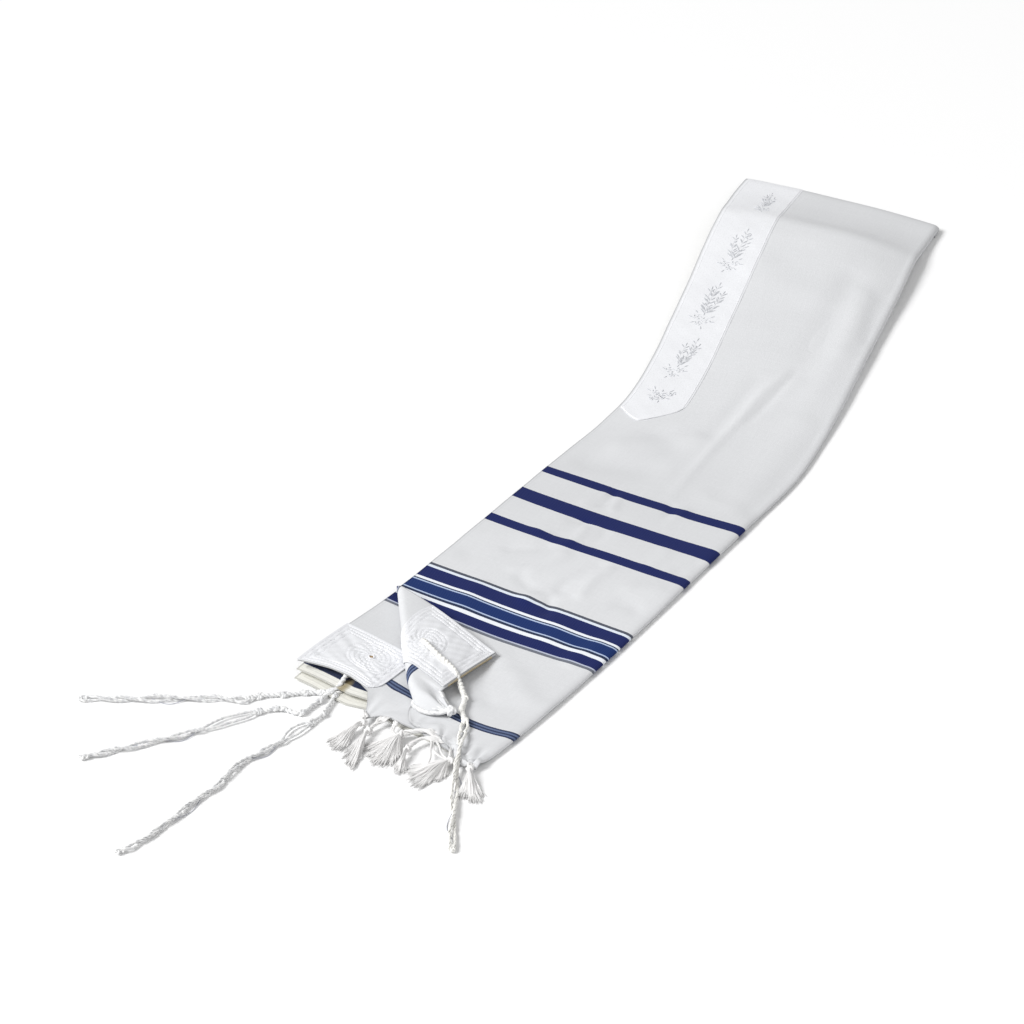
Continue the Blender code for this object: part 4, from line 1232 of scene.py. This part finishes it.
def blossom(work, a, b, reach, turn, petals=5):
    """Open flower: petals drawn round a ring, a bead at its heart."""
    for k in range(petals):
        way = turn + k * 2.0 * math.pi / petals
        start = way - 0.55
        work.leaf(a + reach * math.sin(start), b + reach * math.cos(start), way + 1.02,
                  reach * 1.12, 1.25, 0.6, 0.10)
        work.leaf(a + 0.38 * reach * math.sin(way), b + 0.38 * reach * math.cos(way), way,
                  reach * 0.42, 0.8, 0.5)
    work.bead(a, b, 1.5, 1.0)


def sprig(work, a, b, angle, size, seed):
    """Blossoms at (a, b) with a plume of three leafy stems going off along angle."""
    r = rng(seed)
    ca, sa = math.cos(angle), math.sin(angle)

    def at(side, long):
        return a + (side * ca + long * sa) * size, b + (long * ca - side * sa) * size

    hand = 1.0 if seed % 2 else -1.0
    for lean, far, count, bow in ((0.02, 70.0, 9, 1.8), (-0.10, 55.0, 7, -1.6), (0.11, 60.0, 7, 1.4)):
        share = np.linspace(0.0, 1.0, 18)
        start = 13.0 + 4.0 * abs(lean) * 10.0
        reach = start + (far - start) * share
        out = hand * (lean * reach + bow * np.sin(share * 2.7))
        stem = [at(o, q) for o, q in zip(out, reach)]
        work.line(stem, 0.26 * size, 0.22, 4)
        for k in range(count):
            t = (k + 0.55) / (count + 0.3)
            pa, pb = stem[int(t * 17)]
            long = (9.0 - 2.8 * t + r.uniform(-1.5, 1.5)) * size
            for sign in (-1.0, 1.0):
                if abs(lean) > 0.1 and sign * lean * hand < 0 and k % 2:
                    continue
                if r.uniform() < 0.10:
                    continue
                turn = angle + hand * lean + sign * (0.50 + r.uniform(-0.12, 0.14))
                slip = r.uniform(-1.8, 1.8) * size
                work.leaf(pa + sign * 0.5, pb + slip, turn, long, (1.55 + r.uniform(-0.3, 0.4)) * size,
                          0.6, 0.05 * sign)
        tip = stem[-1]
        work.leaf(tip[0], tip[1], angle + hand * lean, 7.5 * size, 1.4 * size)
    for side, long, reach in ((-4.8, 3.0, 3.9), (5.4, 6.5, 3.5), (1.2, -4.6, 2.9)):
        pa, pb = at(side * hand, long)
        blossom(work, pa, pb, reach * size, r.uniform(0.0, 1.2))
    for side, long, lean in ((-11.0, 1.0, -1.2), (-9.0, 9.0, -0.7), (11.4, 4.0, 1.15),
                             (8.6, 13.6, 0.7), (-3.4, -9.0, 3.5), (6.4, -2.4, 2.3), (0.2, 11.0, 0.1)):
        pa, pb = at(side * 0.82 * hand, long)
        work.leaf(pa, pb, angle + lean * hand, 6.0 * size, 1.5 * size)


def rose_spray(work, a, b, turn, size):
    ca, sa = math.cos(turn), math.sin(turn)

    def at(side, long):
        return a + (side * ca + long * sa) * size, b + (long * ca - side * sa) * size

    pa, pb = at(2.0, 0.0)
    blossom(work, pa, pb, 5.6 * size, 0.3, 6)
    blossom(work, pa, pb, 3.1 * size, 0.9, 4)
    for side, long, reach in ((-7.6, 3.0, 3.2), (10.6, 5.4, 3.0), (-2.6, -9.0, 2.5)):
        pa, pb = at(side, long)
        blossom(work, pa, pb, reach * size, side)
    for side, long, lean, reach in ((-2.0, 8.0, -0.5, 6.0), (5.0, 8.6, 0.3, 6.5), (-12.2, 0.0, -1.8, 6.5),
                                    (-11.0, 6.6, -0.9, 6.0), (9.6, -3.0, 1.9, 6.5),
                                    (5.6, -7.4, 2.7, 6.0), (-6.4, -4.6, -2.5, 6.0)):
        pa, pb = at(side, long)
        work.leaf(pa, pb, turn + lean, reach * size, 1.5 * size)


def band_place(a, b, above):
    return band_at(np.asarray(a) / BAND, np.asarray(b), above)


flowers = Stitches(band_place)
rose_spray(flowers, 29.0, 612.0, 0.35, 1.0)
sprig(flowers, 28.0, 660.0, 0.10, 0.98, 3)
sprig(flowers, 31.0, 768.0, 0.06, 1.08, 4)
sprig(flowers, 34.0, 886.0, 0.02, 1.02, 5)
sprig(flowers, 38.0, 1016.0, 0.0, 0.66, 6)
flowers = finish_piece(flowers.build("neckband_embroidery", 40.0), SILVER)

# hem cord along the neckband, and a faint running vine beside it
trim = Stitches(band_place)
run_line = np.linspace(560.0, 1084.0, 220)
for k, radius in ((0.965, 0.40), (0.04, 0.34)):
    trim.line(np.stack([np.full_like(run_line, k * BAND), run_line], 1), radius, 0.32, 5)
k_line = np.linspace(0.012, 0.985, 60)
trim.line(np.stack([k_line * BAND, np.full_like(k_line, 557.6)], 1), 0.4, 0.32, 5)
vine = np.linspace(590.0, 1080.0, 420)
trim.line(np.stack([52.0 + 2.2 * np.sin(vine / 4.4), vine], 1), 0.2, 0.12, 4)
for k, at in enumerate(np.arange(594.0, 1076.0, 13.8)):
    side = 1.0 if k % 2 else -1.0
    trim.leaf(52.0 - 1.4 * side, at, side * 0.9, 3.4, 1.1, 0.12)
    trim.leaf(52.0 + 1.0 * side, at + 6.0, -side * 0.7, 3.0, 1.0, 0.12)
trim = finish_piece(trim.build("neckband_edging", 40.0), SEWING)


# -------------------------------------------------------------- corner patches
EYELET_A = (50.0, 52.0)                # on the second layer's patch, mm
EYELET_B = (50.0, 57.0)                # on the turned corner's patch, mm


def round_corner(a, b, wide, deep, radius=13.0):
    """Draw in the corner at (wide, 0) so that it is round."""
    x = np.clip((a - (wide - radius)) / radius, 0.0, 1.0)
    y = np.clip((radius - b) / radius, 0.0, 1.0)
    reach = np.hypot(x, y)
    square = np.maximum(x, y)
    k = np.where(reach > 1e-6, square / np.maximum(reach, 1e-6), 1.0)
    both = (x > 0.0) & (y > 0.0)
    return (np.where(both, wide - radius + x * k * radius, a),
            np.where(both, radius - y * k * radius, b))


def quilting(a, b, wide, deep, eye):
    """Dips and puffs (mm) between the sewn lines of a patch."""
    edge = np.minimum(np.minimum(a, wide - a), np.minimum(b, deep - b))
    dip = np.zeros_like(a)
    for row in (3.0, 7.5, 12.0):
        dip = dip - 0.55 * np.exp(-((edge - row) / 0.8) ** 2)
    along = a + b + 0.7 * (a - b)
    dip = dip + 0.20 * np.sin(along * 1.9) * np.exp(-((edge - 7.5) / 6.0) ** 4)
    radius = np.hypot(a - eye[0], b - eye[1])
    for ring in (6.0, 10.5, 15.0, 19.5, 24.0):
        dip = dip - 0.50 * np.exp(-((radius - ring) / 0.8) ** 2)
    inside = smooth((26.0 - radius) / 5.0)
    angle = np.arctan2(a - eye[0], b - eye[1])
    dip = dip + 0.22 * np.sin(angle * 17.0 + radius * 0.5) * inside
    dip = dip + waves(a, b, 31, (9.0, 13.0, 19.0), 0.45) * smooth(edge / 8.0)
    return dip - 0.8 * np.exp(-(radius / 3.0) ** 2)


def sew_patch(work, wide, deep, eye, corner=None):
    """Short raised stitches along the patch's sewn lines."""
    def dash(a0, b0, a1, b1):
        t = np.linspace(0.0, 1.0, 4)
        bow = np.sin(t * math.pi) * 0.30
        pts = np.stack([a0 + (a1 - a0) * t, b0 + (b1 - b0) * t], 1)
        path = np.stack(work.place(pts[:, 0], pts[:, 1], 0.28 + bow), 1)
        work.add(path, 0.30, 4)

    for row in (3.0, 7.5, 12.0):
        lines = (((row, row), (wide - row, row)), ((wide - row, row), (wide - row, deep - row)),
                 ((wide - row, deep - row), (row, deep - row)), ((row, deep - row), (row, row)))
        for (a0, b0), (a1, b1) in lines:
            long = math.hypot(a1 - a0, b1 - b0)
            count = int(long / 3.0)
            for k in range(count):
                t0, t1 = k / count, (k + 0.66) / count
                dash(a0 + (a1 - a0) * t0, b0 + (b1 - b0) * t0,
                     a0 + (a1 - a0) * t1, b0 + (b1 - b0) * t1)
    for ring in (6.0, 10.5, 15.0, 19.5, 24.0):
        count = int(2.0 * math.pi * ring / 2.6)
        for k in range(count):
            t0, t1 = 2.0 * math.pi * k / count, 2.0 * math.pi * (k + 0.62) / count
            dash(eye[0] + ring * math.sin(t0), eye[1] + ring * math.cos(t0),
                 eye[0] + ring * math.sin(t1), eye[1] + ring * math.cos(t1))
    a = np.linspace(0.0, 2.0 * math.pi, 25)
    work.line(np.stack([eye[0] + 2.6 * np.sin(a), eye[1] + 2.6 * np.cos(a)], 1), 0.55, 0.9, 6)


def second_patch_at(a, b, above=0.0):
    a, b = np.asarray(a, float), np.asarray(b, float)
    a, b = round_corner(a, b, PATCH, PATCH)
    u, run = -0.002 + a / 217.0, 0.4 + b
    x, y, z = second_surface(u, run)
    # the inner corner is eased back from the gathers
    x0, y0 = plan(u, run)
    lx, ly = plan(0.0, 0.0)
    rx, ry = plan(1.0, 0.0)
    straight = ly + (ry - ly) * (x0 - lx) / (rx - lx)
    hem = np.interp(x0, [-220.0, -212.0, -190.0, -176.0, -168.0, -155.6, -147.0, -140.0, -134.0],
                    [-23.5, -21.4, -17.0, -16.2, -16.4, -19.2, -21.5, -19.0, -13.0])
    y = y0 + (hem - straight) * (1.0 - smooth(run / 42.0))
    w = np.exp(-(np.hypot(x0 - LEFT_KNOT[0], y - LEFT_KNOT[1]) / 22.0) ** 2)
    z = second_height(x0, y)
    z = z * (1.0 - w) + 5.2 * w
    z = z + SHEET_T / 2.0 + 0.9 + quilting(a, b, PATCH, PATCH, EYELET_A) + above
    return x0, y, z


TURNED_DEEP, TURNED_WIDE = 99.0, 80.0


def turned_patch_at(a, b, above=0.0):
    a, b = np.asarray(a, float), np.asarray(b, float)
    bulge = smooth((b - 60.0) / 38.0) * 15.0 * smooth((a - 12.0) / 60.0)
    run = 1.4 + b - bulge
    u = 0.006 + a / 219.5
    x, y = plan(u, run)
    x, y = shorten(x, y, u, run)
    lift = SHEET_T / 2.0 + 0.95 + quilting(a, b, TURNED_WIDE, TURNED_DEEP, EYELET_B) + above
    px, py, pz = turn_back(x, y, lift)
    dx, dy, dz = drawn_end(u * WIDTH, run)
    return px + dx, py + dy, pz + dz


def build_patch(name, place, wide, deep, node):
    ga, gb = np.meshgrid(np.linspace(0.0, wide, int(wide * 1.15)),
                         np.linspace(0.0, deep, int(deep * 1.15)))
    p = np.stack(place(ga, gb), 2)
    flat = np.stack([ga, gb, np.zeros_like(ga)], 2)
    obj = shell(name, p, flat, 0.7)
    finish_piece(obj, PATCH_SATIN, [node])
    return obj


patch_a = build_patch("second_layer_patch", second_patch_at, PATCH, PATCH, "patch_second_layer")
patch_b = build_patch("turned_corner_patch", turned_patch_at, TURNED_WIDE, TURNED_DEEP,
                      "patch_turned_corner")

sewing_a = Stitches(second_patch_at)
sew_patch(sewing_a, PATCH, PATCH, EYELET_A)
finish_piece(sewing_a.build("second_patch_sewing", 40.0), SEWING)
sewing_b = Stitches(turned_patch_at)
sew_patch(sewing_b, TURNED_WIDE, TURNED_DEEP, EYELET_B)
finish_piece(sewing_b.build("turned_patch_sewing", 40.0), SEWING)

# painted shadow under the turned corner's hem edge: two thin tan threads just below it
hem_shadow_line = Stitches(turned_patch_at)
t = np.linspace(0.0, 1.0, 50)
for lower, radius in ((-2.1, 0.75), (-1.4, 0.55)):
    hem_shadow_line.line(np.stack([6.0 + 68.0 * t, np.full(50, -0.9)], 1), radius, lower, 6)
finish_piece(hem_shadow_line.build("turned_corner_hem_shadow", 40.0), PAINTED_HEM_SHADOW)

# the eyelets: a tan bead of painted shade in each hole
for name, place, eye in (("second_patch_eyelet", second_patch_at, EYELET_A),
                         ("turned_patch_eyelet", turned_patch_at, EYELET_B)):
    eyelet_shade_bead = Stitches(place)
    eyelet_shade_bead.bead(eye[0], eye[1], 4.2, 0.75)
    finish_piece(eyelet_shade_bead.build(name, 40.0), PAINTED_EYELET_SHADE)


# ---------------------------------------------------------------------- fringe
# Each tassel: where its yarns leave the cloth, the cord they run in, the knot,
# and the line its tips end on, one side to the other (layout mm).
TASSELS = [
    {"from": ((-136.5, -46.0, 8.0), (-124.0, -50.0, 7.6)), "cord": (), "thick": 2.4,
     "knot": (-127.4, -58.6, 5.4), "size": 3.1, "yarns": 230,
     "tips": ((-142.5, -91.0), (-139.0, -97.0), (-130.5, -102.8), (-124.6, -104.0),
              (-121.8, -96.0))},
    {"from": ((-118.0, -46.5, 8.4), (-105.5, -44.0, 8.6)), "thick": 2.2,
     "cord": ((-112.5, -47.5, 7.6), (-115.2, -56.0, 6.4)), "knot": (-116.7, -66.2, 5.0),
     "size": 3.0, "yarns": 250,
     "tips": ((-119.5, -99.0), (-117.1, -105.3), (-109.3, -115.0), (-98.7, -123.4),
              (-101.6, -104.6), (-109.4, -88.2))},
    {"from": ((-60.0, -40.5, 7.0), (-48.0, -45.5, 6.8)), "thick": 2.9,
     "cord": ((-63.5, -44.6, 8.6), (-73.0, -46.6, 8.8), (-80.6, -51.6, 7.8)),
     "knot": (-87.6, -58.4, 6.2), "size": 3.2, "yarns": 340,
     "tips": ((-111.0, -83.5), (-108.0, -91.0), (-95.8, -99.9), (-86.2, -106.0), (-76.0, -103.0),
              (-72.0, -88.5), (-76.0, -71.4))},
    {"from": ((-54.0, -44.0, 6.4), (-44.0, -50.0, 6.2)), "thick": 2.3,
     "cord": ((-58.0, -50.6, 7.4), (-67.4, -55.0, 7.6), (-71.0, -65.0, 6.2)),
     "knot": (-71.6, -73.0, 5.4), "size": 2.7, "yarns": 150,
     "tips": ((-70.0, -97.0), (-66.5, -101.5), (-61.0, -105.5), (-57.6, -97.4))},
    {"from": ((-42.0, -54.0, 7.6), (-27.0, -66.0, 6.8)), "cord": (), "thick": 3.0,
     "knot": (-29.8, -69.2, 5.8), "size": 3.3, "yarns": 400,
     "tips": ((-60.5, -86.5), (-59.0, -94.5), (-54.0, -101.5), (-41.0, -112.6), (-34.2, -115.4),
              (-31.4, -102.4), (-25.6, -95.0), (-24.0, -82.0))},
    {"from": ((-18.5, -66.0, 6.6), (-5.5, -62.0, 6.2)), "cord": (), "thick": 2.6,
     "knot": (-9.6, -69.4, 5.2), "size": 2.9, "yarns": 280,
     "tips": ((-1.4, -104.0), (2.5, -107.6), (9.6, -105.0), (14.6, -108.4), (20.2, -106.8),
              (21.4, -94.6))},
]


def along_line(points, share):
    """Point at a share of a polyline's length."""
    pts = np.array(points, float)
    long = np.concatenate([[0.0], np.cumsum(np.linalg.norm(np.diff(pts, axis=0), axis=1))])
    at = np.clip(share, 0.0, 1.0) * long[-1]
    return np.array([np.interp(at, long, pts[:, c]) for c in range(pts.shape[1])])


def build_tassel(number, spec):
    r = rng(100 + number)
    strands = Strands()
    knot = np.array(spec["knot"])
    root_a, root_b = (np.array(q) for q in spec["from"])
    root = (root_a + root_b) / 2.0
    tips = spec["tips"]
    middle = along_line(tips, 0.5)
    out = np.array([middle[0], middle[1], 1.0]) - knot
    out[2] = 0.0
    out /= np.linalg.norm(out)
    side = np.array([out[1], -out[0], 0.0])
    # yarns run from the cloth into the cord
    route = [root] + [np.array(q) for q in spec["cord"]] + [knot]
    spine, at = resample(route, 1.2)
    tt, nn, bb = frames(spine)
    share = at / at[-1]
    for k in range(26):
        a, q = r.uniform(0.0, 2.0 * math.pi), math.sqrt(r.uniform(0.05, 1.0))
        turn = a + at * 2.0 * math.pi / 26.0
        thick = spec["thick"] * (0.55 + 0.45 * np.cos(share * math.pi) ** 2) * q
        thick = thick * (1.0 - 0.35 * smooth((share - 0.8) / 0.2))
        start = root_a + (root_b - root_a) * (0.5 + 0.5 * math.cos(a) * q)
        gap = (start - root) * (1.0 - smooth(share / 0.55))[:, None]
        flatten = 1.0 - 0.6 * (1.0 - smooth(share / 0.4))
        path = (spine + gap + nn * (np.cos(turn) * thick)[:, None]
                + bb * (np.sin(turn) * thick * flatten)[:, None])
        path[:, 2] = np.maximum(path[:, 2], 0.7)
        strands.add(path, 0.62, 4)
    # the brush
    for k in range(spec["yarns"]):
        inner = k < spec["yarns"] // 5
        locks = max(6, spec["yarns"] // 20)
        lock = r.integers(0, locks)
        where = r.uniform(0.06, 0.94) if inner else (lock + 0.5 + r.uniform(-0.36, 0.36)) / locks
        level = 0.10 + 0.5 * r.uniform() if inner else r.uniform(0.0, 1.0)
        tip = along_line(tips, where)
        centre = 1.0 - abs(2.0 * where - 1.0)
        reach = (r.uniform(0.70, 0.84) if inner
                 else 0.95 + 0.05 * math.sin(lock * 2.4) + r.uniform(-0.10, 0.05))
        flat_way = tip - knot[:2]
        tip_at = knot[:2] + flat_way * reach
        tip_at = tip_at + r.uniform(-1.5, 1.5, 2)
        across = (where - 0.5) * 2.0
        hump = 5.2 * (0.35 + 0.65 * centre)
        start = knot + side * across * 1.7 + np.array([0, 0, (level - 0.5) * 2.6])
        start = start - out * 1.0
        points = [start]
        for f in (0.22, 0.5, 0.78):
            base = knot[:2] + (tip_at - knot[:2]) * f
            bulge = side[:2] * across * 1.6 * math.sin(math.pi * f)
            lift = knot[2] * (1.0 - f) + level * hump * math.sin(math.pi * min(f + 0.12, 1.0)) + 0.7
            points.append(np.array([base[0] + bulge[0], base[1] + bulge[1], max(lift, 0.6)]))
        curl = r.uniform(-4.5, 4.5, 2)
        points.append(np.array([tip_at[0] + 0.3 * curl[0], tip_at[1] + 0.3 * curl[1],
                                max(0.5, level * 3.4 * (0.4 + 0.6 * centre))]))
        path, _ = resample(points, count=15)
        wave = np.sin(np.linspace(0.0, r.uniform(6.0, 12.0), 15) + r.uniform(0.0, 6.0))
        path[:, :2] += side[None, :2] * (0.30 * wave * np.linspace(0.0, 1.0, 15))[:, None]
        path[:, 2] = np.maximum(path[:, 2], 0.5)
        thick = 0.9 if inner else r.uniform(0.34, 0.5)
        strands.add(path, np.interp(np.linspace(0, 1, 15), [0, 0.86, 1.0],
                                    [thick, thick, 0.22]), 4)
    axis = spine[-1] - spine[-4]
    axis /= np.linalg.norm(axis)
    axis = axis * 0.6 + out * 0.4
    axis /= np.linalg.norm(axis)
    side2 = np.cross(axis, [0.0, 0.0, 1.0])
    side2 /= np.linalg.norm(side2)
    up2 = np.cross(side2, axis)
    for shift, lean, size in ((-0.8, 0.5, spec["size"]), (0.9, -0.7, spec["size"] * 0.92)):
        sd = side2 * math.cos(lean) + up2 * math.sin(lean)
        curve = knot_points(knot + axis * shift, axis, sd, np.cross(axis, sd), size)
        curve[:, 2] = np.maximum(curve[:, 2], 1.4)
        strands.add(curve, 1.35, 7)
    extra = {
        3: (((-101.5, -45.0, 8.4), (-99.0, -50.0, 6.4), (-97.0, -56.0, 5.2), (-91.0, -60.5, 5.4)),
            ((-99.0, -45.5, 8.2), (-100.5, -51.0, 6.0), (-97.5, -57.5, 4.6), (-90.0, -62.0, 5.0))),
        5: (((-62.0, -49.2, 7.5), (-56.6, -57.0, 6.8), (-52.8, -64.5, 5.6), (-48.0, -72.0, 5.2),
             (-44.9, -80.0, 5.0)),
            ((-53.8, -52.4, 7.2), (-48.6, -56.8, 6.6), (-45.0, -60.6, 6.0), (-40.0, -65.0, 6.0),
             (-33.0, -68.6, 6.0)),
            ((-60.0, -49.6, 7.2), (-56.8, -54.0, 6.0), (-50.8, -62.0, 5.0), (-40.6, -67.6, 5.4),
             (-32.0, -70.0, 5.6))),
    }.get(number, ())
    for route in extra:
        spine, at = resample(route, 1.2)
        tt, nn, bb = frames(spine)
        for k in range(5):
            turn = at * 2.0 * math.pi / 14.0 + k * 1.257
            path = spine + nn * (0.62 * np.cos(turn))[:, None] + bb * (0.62 * np.sin(turn))[:, None]
            strands.add(path, 0.45, 4)
        if number == 3:
            curve = knot_points(spine[3], tt[3], nn[3], bb[3], 2.0)
            strands.add(curve, 0.9, 6)
    obj = strands.build("fringe_strands_%d" % number)
    finish_piece(obj, FRINGE, ["fringe_tassel_%d" % number])
    return obj


for number, spec in enumerate(TASSELS, start=1):
    build_tassel(number, spec)


# The rolled hem that gathers the turned corner, from the patch's inner corner
# through the knot and back to the crease.
def build_rolled_hem():
    strands = Strands()
    route = [(-93.5, 9.0, 16.4), (-84.0, 2.0, 16.6), (-74.5, -7.0, 15.6), (-65.5, -14.4, 14.2)]
    spine, at = resample(route, 1.0)
    share = at / at[-1]
    wobble = 0.35 * np.sin(at / 2.7)
    strands.add(spine, 1.9 - 0.5 * share + wobble * 0.4, 10)
    strands.add(spine + np.array([1.2, 1.0, -1.0]), 1.5 + 0.3 * np.sin(at / 3.4), 8)
    route = [(-65.5, -15.6, 13.6), (-72.0, -20.2, 12.6), (-84.6, -23.6, 11.4), (-94.0, -22.0, 11.0),
             (-100.4, -18.8, 10.6), (-103.0, -14.0, 10.6)]
    spine, at = resample(route, 1.0)
    share = at / at[-1]
    strands.add(spine, 1.5 + 0.7 * np.sin(math.pi * share) + 0.12 * np.sin(at / 2.3), 10)
    # pleats of the hem drawn up into the knot
    for route, thick in ((((-96.0, -9.4, 14.6), (-87.5, -13.4, 15.4), (-79.5, -15.6, 15.4),
                           (-68.5, -16.6, 14.6)), 1.25),
                         (((-90.0, -2.0, 15.2), (-82.4, -7.2, 15.8), (-74.6, -11.6, 15.4),
                           (-67.0, -15.0, 14.6)), 1.0),
                         (((-92.0, -16.6, 12.6), (-84.0, -18.6, 13.6), (-76.0, -18.6, 14.0),
                           (-67.5, -17.0, 14.2)), 0.95)):
        spine, at = resample(route, 1.0)
        share = at / at[-1]
        strands.add(spine, thick * (0.25 + 0.75 * np.sin(0.5 * math.pi * share)), 8)
    knot = KNOT_AT + np.array([0.5, 0.5, 0.6])
    for lean, size, shift in ((0.3, 4.2, 0.0), (1.5, 3.8, 1.4), (-0.8, 3.6, -1.2)):
        side_way = np.array([math.cos(lean), math.sin(lean), 0.25])
        side_way /= np.linalg.norm(side_way)
        up = np.cross(np.array([0.62, -0.78, 0.0]), side_way)
        up /= np.linalg.norm(up)
        axis = np.cross(side_way, up)
        strands.add(knot_points(knot + axis * shift, axis, side_way, up, size), 1.5, 8)
    obj = strands.build("gathered_hem_roll", 60.0)
    return finish_piece(obj, CORD)


build_rolled_hem()


# --------------------------------------------------------------- floor, lights
def floor_material():
    m = Nodes("floor_paper")
    where = m.node("ShaderNodeTexCoord").outputs["Object"]
    n = m.noise(where, 3.0, 3.0)
    tone = m.math("MULTIPLY_ADD", n, 0.01, 0.962)
    grey = m.node("ShaderNodeCombineColor")
    for socket in grey.inputs[:3]:
        m.link(tone, socket)
    m.link(grey.outputs[0], m.shader.inputs["Base Color"])
    m.shader.inputs["Roughness"].default_value = 0.9
    m.shader.inputs["Specular IOR Level"].default_value = 0.1
    return m.mat


mesh = bpy.data.meshes.new("floor")
side = 14.0
mesh.from_pydata([(-side, -side, 0.0), (side, -side, 0.0), (side, side, 0.0), (-side, side, 0.0)],
                 [], [(0, 1, 2, 3)])
floor = bpy.data.objects.new("floor", mesh)
bpy.context.scene.collection.objects.link(floor)
mesh.materials.append(floor_material())


def area_light(name, place, aim, size, power, colour=(1.0, 1.0, 1.0)):
    data = bpy.data.lights.new(name, "AREA")
    data.shape = "SQUARE"
    data.size = size
    data.energy = power
    data.color = colour
    obj = bpy.data.objects.new(name, data)
    bpy.context.scene.collection.objects.link(obj)
    obj.location = place
    direction = np.array(aim, float) - np.array(place, float)
    obj.rotation_euler = Vector(direction).to_track_quat("-Z", "Y").to_euler()
    return obj


area_light("key", (-9.6, -11.6, 13.7), (0.0, 0.0, 0.0), 8.5, 3900.0)
area_light("fill", (3.4, -1.6, 3.4), (0.0, 0.0, 0.0), 3.0, 38.0)

scene_world = bpy.data.worlds.new("studio")
scene_world.use_nodes = True
scene_world.node_tree.nodes["Background"].inputs["Color"].default_value = (1.0, 1.0, 1.0, 1.0)
scene_world.node_tree.nodes["Background"].inputs["Strength"].default_value = 0.39
bpy.context.scene.world = scene_world
bpy.context.scene.view_settings.view_transform = "Standard"
bpy.context.scene.view_settings.look = "None"
bpy.context.scene.view_settings.exposure = 0.0
